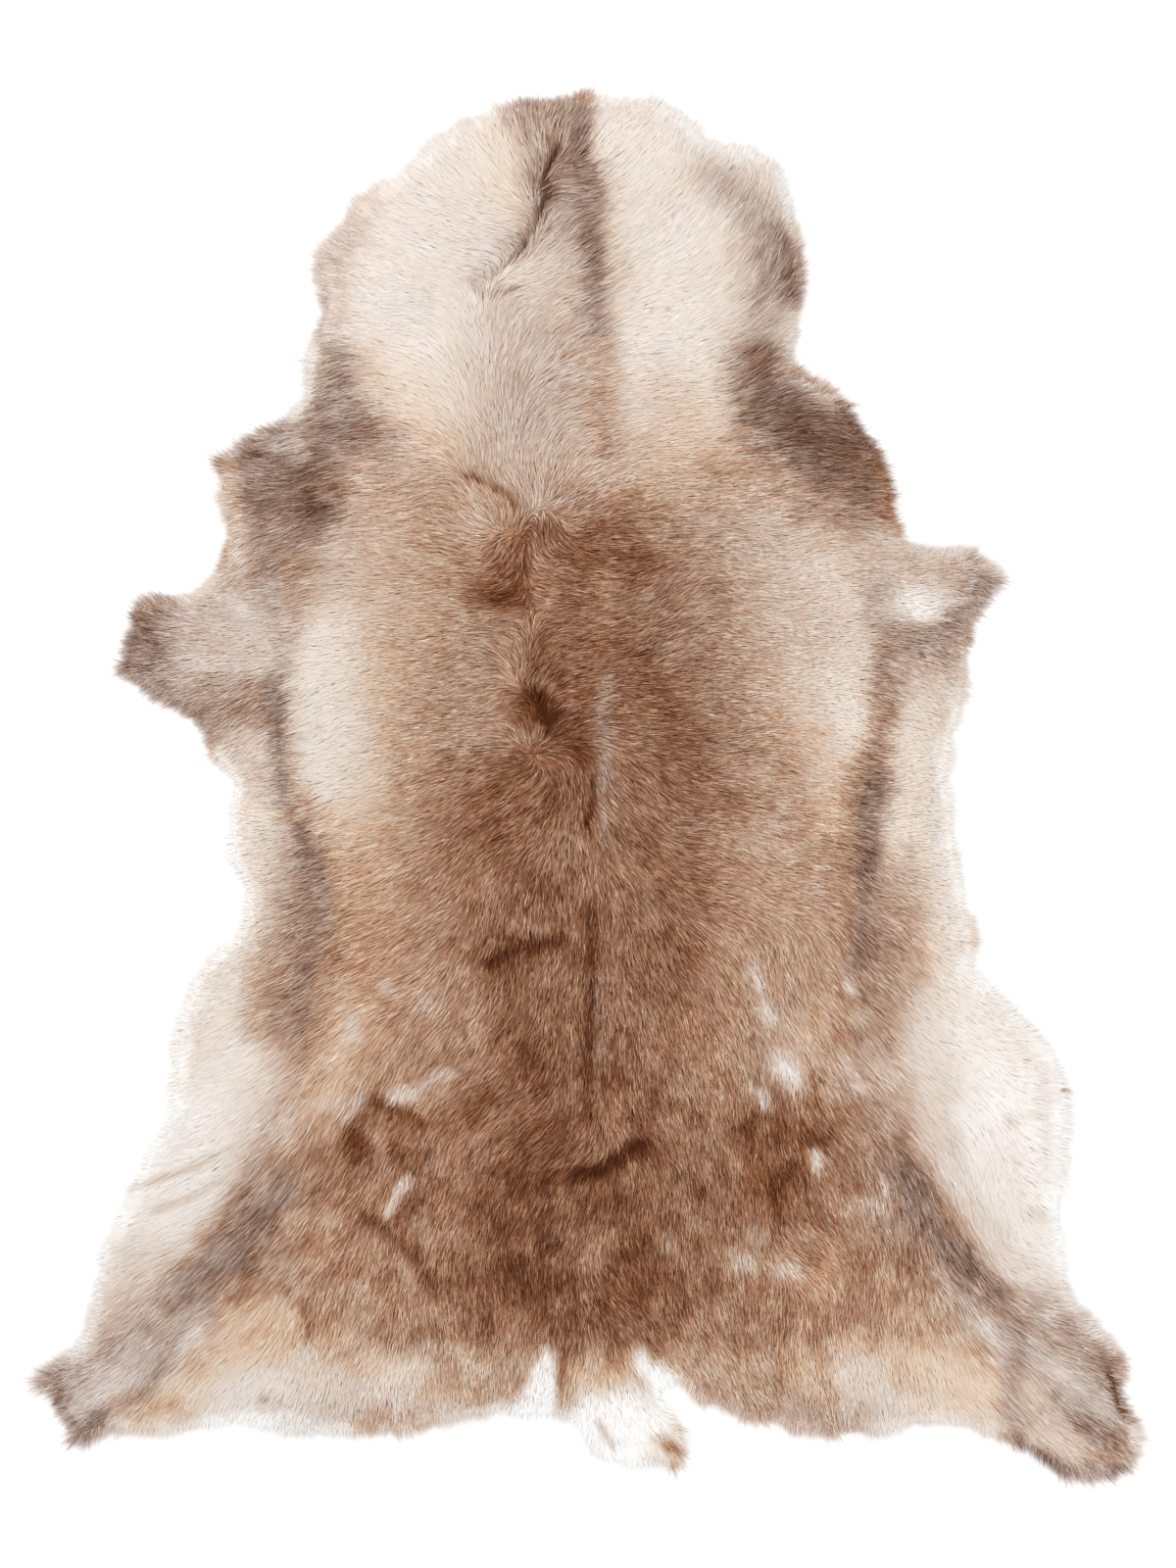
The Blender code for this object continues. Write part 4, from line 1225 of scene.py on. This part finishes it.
def coat_colour():
    """Darkness and warmth of the coat, each from 0 to 1, stroke by stroke, with painted crease shade and
    edge light.
    """
    dark = np.full(GRID_X.shape, PIGMENTS[BASE_COAT][0])
    warm = np.full(GRID_X.shape, PIGMENTS[BASE_COAT][1])
    shift_x = noise(WANDER_X) + WANDER_ALONG * FINE_STREAKS * LAY_X
    shift_y = noise(WANDER_Y) + WANDER_ALONG * FINE_STREAKS * LAY_Y
    for stroke in COAT:
        wander = min(1, stroke.half_width / WANDER_WIDTH)
        x, y = GRID_X + wander * shift_x, GRID_Y + wander * shift_y
        away = distance_to_path(x, y, np.array(stroke.path) * MM)
        cover = stroke.cover * half_at(away, stroke.half_width, stroke.edge)
        tone, hue = PIGMENTS[stroke.pigment]
        dark += (tone - dark) * cover
        warm += (hue - warm) * cover
    # Painted shade: the creases darken the coat, and warm it a little, where shadow falls in them.
    shade = np.zeros_like(dark)
    for crease in CREASES:
        near = crease_share(crease, CREASE_WANDER * shift_x, CREASE_WANDER * shift_y)
        shade = np.maximum(shade, crease.shade * near)
    # Painted light: pale coat is painted whiter near the edge, a glow round the fringe that hides its
    # shadow.
    pale = 1 - smooth_step((dark - FADE_FROM_DARK) / FADE_DARK_RAMP)
    fade = (1 - smooth_step((EDGE + noise(EDGE_TUFTS)) / FRINGE_FADE)) * pale
    dark = (dark + shade) * (1 - FADE_OF_DARK * fade)
    return dark, warm * (1 - FADE_OF_WARM * fade) + CREASE_SHADE_WARMTH * shade


def crease_depth():
    """How far the pile sinks into its creases."""
    sunk = np.zeros_like(GRID_X)
    for crease in CREASES:
        sunk = np.maximum(sunk, crease.depth * MM * crease_share(crease))
    return sunk


def pile_height():
    """Height of the tips of the pile, drooping to the surface at the edge."""
    droop = PILE_EDGE_SHARE + (1 - PILE_EDGE_SHARE) * smooth_step(EDGE / PILE_EDGE_RAMP)
    pile = blur(TOP, SURFACE_BLUR) * droop + PILE_RELIEF * BROAD_STREAKS
    return np.maximum(pile - crease_depth(), PILE_LEAST)


def undercoat_height():
    """Height of the matted wool, thinning to the skin at its rim."""
    thickness = np.maximum(PILE - UNDERCOAT_DEPTH - SKIN_THICKNESS, UNDERCOAT_LEAST)
    rise = smooth_step((EDGE - UNDERCOAT_INSET) / UNDERCOAT_RAMP)
    return SKIN_THICKNESS + UNDERCOAT_RIM + thickness * rise


def hair_length():
    """Length of the hair over the field, between the short back and the long neck and belly."""
    length = np.full(GRID_X.shape, BACK_HAIR)
    for patch in LONG_HAIR:
        away = np.hypot(GRID_X - patch.x * MM, GRID_Y - patch.y * MM) / (patch.reach * MM)
        length += (patch.length * MM - length) * np.exp(-(away**2))
    return length


DARK, WARM = coat_colour()
PILE = pile_height()
UNDERCOAT = undercoat_height()
LENGTH = hair_length()

# ---------------------------------------------------------------- materials


def linear(levels):
    """A colour given as display levels from 0 to 255, as linear light."""
    shares = [level / 255 for level in levels]
    return tuple(s / 12.92 if s <= 0.04045 else ((s + 0.055) / 1.055) ** 2.4 for s in shares) + (1,)


def hair_colour(levels):
    """The colour of single hairs that gives the lit pile those display levels."""
    least, most = HAIR_COLOUR_LIMITS
    lights = [(light - PILE_HAZE) / PILE_GAIN for light in linear(levels)[:3]]
    return tuple(min(max(light, least), most) for light in lights) + (1,)


def new_material(name, roughness, specular):
    material = bpy.data.materials.new(name)
    material.use_nodes = True
    surface = material.node_tree.nodes["Principled BSDF"]
    surface.inputs["Roughness"].default_value = roughness
    surface.inputs["Specular IOR Level"].default_value = specular
    return material, material.node_tree, surface


def add_node(tree, kind, inputs, output, **settings):
    """A node fed by plain values or by other nodes, and the output of it that is wanted."""
    node = tree.nodes.new(kind)
    for name, value in settings.items():
        setattr(node, name, value)
    for name, value in inputs.items():
        if isinstance(value, bpy.types.NodeSocket):
            tree.links.new(value, node.inputs[name])
        else:
            node.inputs[name].default_value = value
    return node.outputs[output]


def ramp(tree, position, stops):
    """A colour that changes with its position, through stops of position and colour."""
    output = add_node(tree, "ShaderNodeValToRGB", {"Fac": position}, "Color")
    elements = output.node.color_ramp.elements
    for index, (step, colour) in enumerate(stops):
        last = index == len(stops) - 1
        stop = elements[0] if index == 0 else elements[-1] if last else elements.new(step)
        stop.position = step
        stop.color = colour
    return output


def multiply_add(tree, value, factor, addend):
    """The value times the factor, plus the addend."""
    inputs = {0: value, 1: factor, 2: addend}
    return add_node(tree, "ShaderNodeMath", inputs, "Value", operation="MULTIPLY_ADD")


def split(tree, vector):
    """The three parts of a vector, as outputs named X, Y and Z."""
    return add_node(tree, "ShaderNodeSeparateXYZ", {"Vector": vector}, "X").node.outputs


def own_place(tree):
    return add_node(tree, "ShaderNodeTexCoord", {}, "Object")


def noise_texture(tree, scale, detail):
    inputs = {"Vector": own_place(tree), "Scale": scale, "Detail": detail}
    return add_node(tree, "ShaderNodeTexNoise", inputs, "Fac")


def add_bump(tree, surface, height, strength, distance):
    inputs = {"Strength": strength, "Distance": distance, "Height": height}
    tree.links.new(add_node(tree, "ShaderNodeBump", inputs, "Normal"), surface.inputs["Normal"])


def palette(tree, dark, warm):
    """Coat colour from its darkness and warmth."""
    cool_coat, warm_coat = (
        ramp(tree, dark, [(step, hair_colour(levels)) for step, levels in zip(PALETTE_STEPS, coat)])
        for coat in (COOL_COAT, WARM_COAT)
    )
    inputs = {"Factor": warm, "A": cool_coat, "B": warm_coat}
    return add_node(tree, "ShaderNodeMix", inputs, "Result", data_type="RGBA")


def hair_material():
    """Each hair's own darkness and warmth, kept along it as the two coordinates of its UV map."""
    material, tree, surface = new_material("hair", 0.6, 0.14)
    own = split(tree, add_node(tree, "ShaderNodeUVMap", {}, "UV", uv_map="OFBake"))
    tree.links.new(palette(tree, own["X"], own["Y"]), surface.inputs["Base Color"])
    return material


def undercoat_material():
    """Matted wool: the coat's colour, darker in the depth, broken up by fine fibres."""
    material, tree, surface = new_material("undercoat", 0.9, 0.1)
    coat = split(tree, add_node(tree, "ShaderNodeAttribute", {}, "Vector", attribute_name="coat"))
    fibres = noise_texture(tree, scale=420, detail=4)
    change = multiply_add(tree, fibres, 0.3, -0.11)
    dark = multiply_add(tree, change, coat["Z"], coat["X"])
    tree.links.new(palette(tree, dark, coat["Y"]), surface.inputs["Base Color"])
    add_bump(tree, surface, fibres, strength=0.6, distance=1 * MM)
    return material


def skin_material():
    """Tanned flesh side: pale suede with clouds, a fine nap and small creases."""
    material, tree, surface = new_material("skin", 0.85, 0.2)
    clouds = noise_texture(tree, scale=9, detail=6)
    nap = noise_texture(tree, scale=600, detail=3)
    inputs = {"Vector": own_place(tree), "Scale": 130}
    grain = add_node(tree, "ShaderNodeTexVoronoi", inputs, "Distance", feature="DISTANCE_TO_EDGE")
    tones = ramp(tree, clouds, [(0.3, linear(SUEDE_DARK)), (0.72, linear(SUEDE_LIGHT))])
    tree.links.new(tones, surface.inputs["Base Color"])
    add_bump(tree, surface, multiply_add(tree, nap, 0.5, grain), strength=0.4, distance=0.4 * MM)
    return material


def floor_material():
    """White ground with hardly any cloud in it."""
    material, tree, surface = new_material("floor", 0.7, 0.1)
    greys = [(step, (grey, grey, grey, 1)) for step, grey in zip((0, 1), FLOOR_GREYS)]
    tones = ramp(tree, noise_texture(tree, scale=3, detail=2), greys)
    tree.links.new(tones, surface.inputs["Base Color"])
    return material


# ---------------------------------------------------------------- meshes


def new_piece(name, points, faces, material, uv):
    """A mesh object from arrays of points and triangles, with a UV place for each point."""
    mesh = bpy.data.meshes.new(name)
    mesh.vertices.add(len(points))
    mesh.vertices.foreach_set("co", points.astype(np.float32).ravel())
    mesh.loops.add(faces.size)
    mesh.loops.foreach_set("vertex_index", faces.astype(np.int32).ravel())
    mesh.polygons.add(len(faces))
    mesh.polygons.foreach_set("loop_start", np.arange(0, faces.size, 3, dtype=np.int32))
    mesh.polygons.foreach_set("loop_total", np.full(len(faces), 3, dtype=np.int32))
    mesh.update(calc_edges=True)
    layer = mesh.uv_layers.new(name="OFBake")
    layer.data.foreach_set("uv", uv[faces.ravel()].astype(np.float32).ravel())
    mesh.shade_smooth()
    mesh.materials.append(material)
    piece = bpy.data.objects.new(name, mesh)
    bpy.context.scene.collection.objects.link(piece)
    return piece


def plan_uv(x, y):
    """Places seen from above, fitted into the unit square."""
    reach = max(AXIS_X[-1] - AXIS_X[0], AXIS_Y[-1] - AXIS_Y[0])
    return np.column_stack(((x - AXIS_X[0]) / reach, (y - AXIS_Y[0]) / reach))


def plan_triangles(spacing, inset):
    """Staggered triangles over the hide inside its inset edge, the outer points moved onto that edge."""
    row_step = spacing * math.sqrt(3) / 2
    rows = int((AXIS_Y[-1] - AXIS_Y[0]) / row_step)
    columns = int((AXIS_X[-1] - AXIS_X[0]) / spacing)
    row, column = np.divmod(np.arange(rows * columns), columns)
    x = AXIS_X[0] + (column + row % 2 / 2) * spacing
    y = AXIS_Y[0] + row * row_step
    depth = sample(EDGE, x, y) - inset
    near = np.abs(depth) < spacing / 2
    x[near] += depth[near] * sample(OUT_X, x[near], y[near])
    y[near] += depth[near] * sample(OUT_Y, x[near], y[near])
    here = np.arange(rows * columns).reshape(rows, columns)[:-1, 1:-1].ravel()
    odd = (here // columns) % 2
    above = here + columns + odd - 1
    faces = np.vstack((
        np.column_stack((here, above + 1, above)),
        np.column_stack((here, here + 1, above + 1)),
    ))
    return x, y, faces[(depth[faces] > -spacing / 2).all(axis=1)]


def tidy_patch(faces):
    """The largest connected patch of the faces, with no two parts that touch in one point only."""
    while True:
        edges = np.sort(np.vstack((faces[:, :2], faces[:, 1:], faces[:, ::2])), axis=1)
        edges, count = np.unique(edges, axis=0, return_counts=True)
        pinched = np.flatnonzero(np.bincount(edges[count == 1].ravel()) > 2)
        if not len(pinched):
            break
        faces = faces[~np.isin(faces, pinched).any(axis=1)]
    label = np.arange(faces.max() + 1)
    while True:
        lowest = label[faces].min(axis=1)
        spread = label.copy()
        np.minimum.at(spread, faces.ravel(), np.repeat(lowest, 3))
        if (spread == label).all():
            break
        label = spread
    labels, sizes = np.unique(label[faces[:, 0]], return_counts=True)
    return faces[label[faces[:, 0]] == labels[sizes.argmax()]]


def closed_sheet(name, spacing, inset, top, bottom, material):
    """A closed sheet over the hide inside its inset edge, between two heights."""
    x, y, faces = plan_triangles(spacing, inset)
    used, faces = np.unique(tidy_patch(faces), return_inverse=True)
    faces = faces.reshape(-1, 3)
    x, y = x[used], y[used]
    count = len(used)
    upper = np.column_stack((x, y, top(x, y)))
    lower = np.column_stack((x, y, np.full(count, bottom)))
    runs = np.vstack((faces[:, (0, 1)], faces[:, (1, 2)], faces[:, (2, 0)]))
    codes = runs[:, 0] * count + runs[:, 1]
    rim = runs[~np.isin(codes, runs[:, 1] * count + runs[:, 0])]
    start, end = rim[:, 0], rim[:, 1]
    walls = np.vstack((
        np.column_stack((start + count, end + count, end)),
        np.column_stack((start + count, end, start)),
    ))
    all_faces = np.vstack((faces, faces[:, ::-1] + count, walls))
    uv = plan_uv(x, y)
    return new_piece(name, np.vstack((upper, lower)), all_faces, material, np.vstack((uv, uv)))


def flat_area(piece):
    """Area of the piece seen from above."""
    mesh = piece.data
    normals = np.empty(len(mesh.polygons) * 3, np.float32)
    areas = np.empty(len(mesh.polygons), np.float32)
    mesh.polygons.foreach_get("normal", normals)
    mesh.polygons.foreach_get("area", areas)
    return float((areas * np.maximum(normals[2::3], 0)).sum())


def skin_top(x, y):
    return np.full(len(x), SKIN_THICKNESS)


def undercoat_top(x, y):
    return sample(UNDERCOAT, x, y)


def add_skin():
    skin = closed_sheet("skin", SKIN_GRID, SKIN_INSET, skin_top, 0.0, skin_material())
    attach(skin, "root")
    return skin


def add_undercoat():
    material = undercoat_material()
    wool = closed_sheet(
        "undercoat", UNDERCOAT_GRID, UNDERCOAT_INSET, undercoat_top, SKIN_THICKNESS, material
    )
    points = np.empty(len(wool.data.vertices) * 3, np.float32)
    wool.data.vertices.foreach_get("co", points)
    x, y = points[0::3].astype(float), points[1::3].astype(float)
    coat = wool.data.attributes.new("coat", "FLOAT_VECTOR", "POINT")
    dark = sample(DARK, x, y)
    change = WOOL_CONTRAST + (1 - WOOL_CONTRAST) * coat_depth(dark)
    tones = np.column_stack((dark, sample(WARM, x, y), change))
    coat.data.foreach_set("vector", tones.astype(np.float32).ravel())
    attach(wool, "root")
    return wool


# ---------------------------------------------------------------- hair


def scatter(rng, spacing, low, high):
    """Places strewn over a box, one to each cell of that spacing."""
    columns = round((high[0] - low[0]) / spacing)
    rows = round((high[1] - low[1]) / spacing)
    row, column = np.divmod(np.arange(rows * columns), columns)
    x = low[0] + (column + rng.random(rows * columns)) * spacing
    y = low[1] + (row + rng.random(rows * columns)) * spacing
    return x, y


def hair_mesh(name, root, middle, tip, side, width, tones, material):
    """Hairs as slim leaves of two triangles: root, two sides at the middle and tip."""
    count = len(root)
    half = side * width[:, None] / 2
    points = np.stack((root, middle - half, middle + half, tip), axis=1).reshape(-1, 3)
    first = np.arange(count)[:, None] * 4
    faces = np.concatenate((first + (0, 1, 2), first + (1, 3, 2)), axis=1).reshape(-1, 3)
    piece = new_piece(name, points, faces, material, tones.reshape(-1, 2))
    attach(piece, "root")
    return piece


def coat_depth(dark):
    """How much the coat's hairs differ from each other: hardly in white hair, fully in brown."""
    return smooth_step((dark - BROWN_FROM) / BROWN_RAMP)


def hair_tones(rng, x, y, count):
    """Darkness and warmth at a hair's root, both sides and tip."""
    dark, warm = sample(DARK, x, y), sample(WARM, x, y)
    depth = coat_depth(dark)

    def by_depth(tone):
        white, brown = tone
        return white + brown * depth

    fine, broad = sample(FINE_STREAKS, x, y), sample(BROAD_STREAKS, x, y)
    dark = dark + LIGHT_COAT_SHADE * (1 - depth) + by_depth(FINE_STREAK_TONE) * fine
    dark += by_depth(BROAD_STREAK_TONE) * broad + depth * sample(MOTTLING, x, y)
    own = rng.normal(0, 1, count)
    light, deep = (mean + spread * own for mean, spread in (LIGHT_KIND, DARK_KIND))
    own = np.where(rng.random(count) < LIGHT_HAIRS, light, deep) * by_depth(OWN_TONE)
    middle = dark + own
    root = middle + by_depth(ROOT_SHADE)
    tip = middle - by_depth(TIP_SHADE)
    hue = warm + rng.normal(0, WARMTH_SPREAD, count)
    darkness = np.column_stack((root, middle - SIDE_TONE, middle + SIDE_TONE, tip))
    warmth = np.column_stack((hue, hue - SIDE_WARMTH, hue + SIDE_WARMTH, hue))
    return np.clip(np.stack((darkness, warmth), axis=2), *TONE_LIMITS)


def grow(region, seed, material):
    """The hairs of one region of the hide, or of its fringe, as one piece."""
    rng = np.random.default_rng(seed)
    kind = FRINGE_HAIR if region.fringe else COAT_HAIR
    low, high = (np.array(corner) * MM for corner in (region.low, region.high))
    x, y = scatter(rng, region.spacing * MM, low, high)
    depth = sample(EDGE, x, y)
    if region.fringe:
        kept = (depth > SKIN_INSET + FRINGE_ROOTS[0]) & (depth < SKIN_INSET + FRINGE_ROOTS[1])
    else:
        kept = depth > SKIN_INSET
    x, y, depth = x[kept], y[kept], depth[kept]
    count = len(x)

    # heading of each hair, and how far it points out of the hide
    out_x, out_y = sample(OUT_X, x, y), sample(OUT_Y, x, y)
    near_x, near_y = x + rng.normal(0, LAY_SPREAD, count), y + rng.normal(0, LAY_SPREAD, count)
    lay_x, lay_y = sample(LAY_X, near_x, near_y), sample(LAY_Y, near_x, near_y)
    if region.fringe:
        lay_x, lay_y = lay_x + FRINGE_TURN * out_x, lay_y + FRINGE_TURN * out_y
    stray = rng.normal(0, kind.stray, count)
    heading = np.arctan2(lay_y, lay_x) + stray
    outward = np.maximum(np.cos(heading) * out_x + np.sin(heading) * out_y, kind.least_outward)

    # how far it reaches: the fringe to the hide's edge, the coat not quite
    reach = sample(LENGTH, x, y) * rng.uniform(*HAIR_LENGTHS, count)
    if region.fringe:
        tuft = FRINGE_TUFT * sample(BROAD_STREAKS, x + 0.5 * depth * out_x, y + 0.5 * depth * out_y)
        room = (depth + (rng.normal(*FRINGE_OVERHANG, count) + tuft) * MM) / outward
        reach = np.clip(room, *FRINGE_REACH)
    else:
        room = (depth - COAT_MARGIN) / outward
        reach = np.minimum(reach, np.maximum(room, COAT_LEAST_REACH))
    mid_x = x + HAIR_BEND * reach * np.cos(heading)
    mid_y = y + HAIR_BEND * reach * np.sin(heading)
    bend = heading
    if not region.fringe:
        bend = np.arctan2(sample(LAY_Y, mid_x, mid_y), sample(LAY_X, mid_x, mid_y)) + stray
    tip_x = mid_x + (1 - HAIR_BEND) * reach * np.cos(bend)
    tip_y = mid_y + (1 - HAIR_BEND) * reach * np.sin(bend)

    # heights of its root, middle and tip
    calm = CALM_LEAST + (1 - CALM_LEAST) * coat_depth(sample(DARK, x, y))
    sunk = rng.random(count) ** HAIR_SUNK_POWER * HAIR_SUNK * calm
    root_z = undercoat_top(x, y) - ROOT_SUNK
    if region.fringe:
        mid_z = root_z + rng.uniform(*FRINGE_MIDDLE, count) * MM
        tip_z = rng.uniform(*FRINGE_TIP, count) * MM
    else:
        mid_pile, tip_pile = sample(PILE, mid_x, mid_y), sample(PILE, tip_x, tip_y)
        mid_wool, tip_wool = undercoat_top(mid_x, mid_y), undercoat_top(tip_x, tip_y)
        mid_z = np.maximum(mid_pile - sunk - MIDDLE_SUNK, mid_wool + MIDDLE_CLEARANCE)
        tip_z = np.maximum(tip_pile - TIP_SUNK_SHARE * sunk, tip_wool + TIP_CLEARANCE)

    roll = rng.normal(0, HAIR_ROLL, count) * calm
    side_x, side_y = -np.sin(heading) * np.cos(roll), np.cos(heading) * np.cos(roll)
    width = kind.width * rng.uniform(*HAIR_WIDTHS, count)
    tones = hair_tones(rng, x + TONE_PLACE * (tip_x - x), y + TONE_PLACE * (tip_y - y), count)
    return hair_mesh(
        region.name,
        np.column_stack((x, y, root_z)),
        np.column_stack((mid_x, mid_y, mid_z)),
        np.column_stack((tip_x, tip_y, tip_z)),
        np.column_stack((side_x, side_y, np.sin(roll))),
        width,
        tones,
        material,
    )


def add_hair():
    material = hair_material()
    return [grow(region, seed, material) for seed, region in enumerate(REGIONS, FIRST_HAIR_SEED)]


def add_floor():
    mesh = bpy.data.meshes.new("floor")
    signs = ((-1, -1), (1, -1), (1, 1), (-1, 1))
    corners = [(x * FLOOR_HALF, y * FLOOR_HALF, -FLOOR_DROP) for x, y in signs]
    mesh.from_pydata(corners, [], [(0, 1, 2, 3)])
    mesh.materials.append(floor_material())
    floor = bpy.data.objects.new("floor", mesh)
    bpy.context.scene.collection.objects.link(floor)


add_studio()
add_floor()
skin = add_skin()
undercoat = add_undercoat()
hair = add_hair()
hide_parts("hide")
area = flat_area(skin)
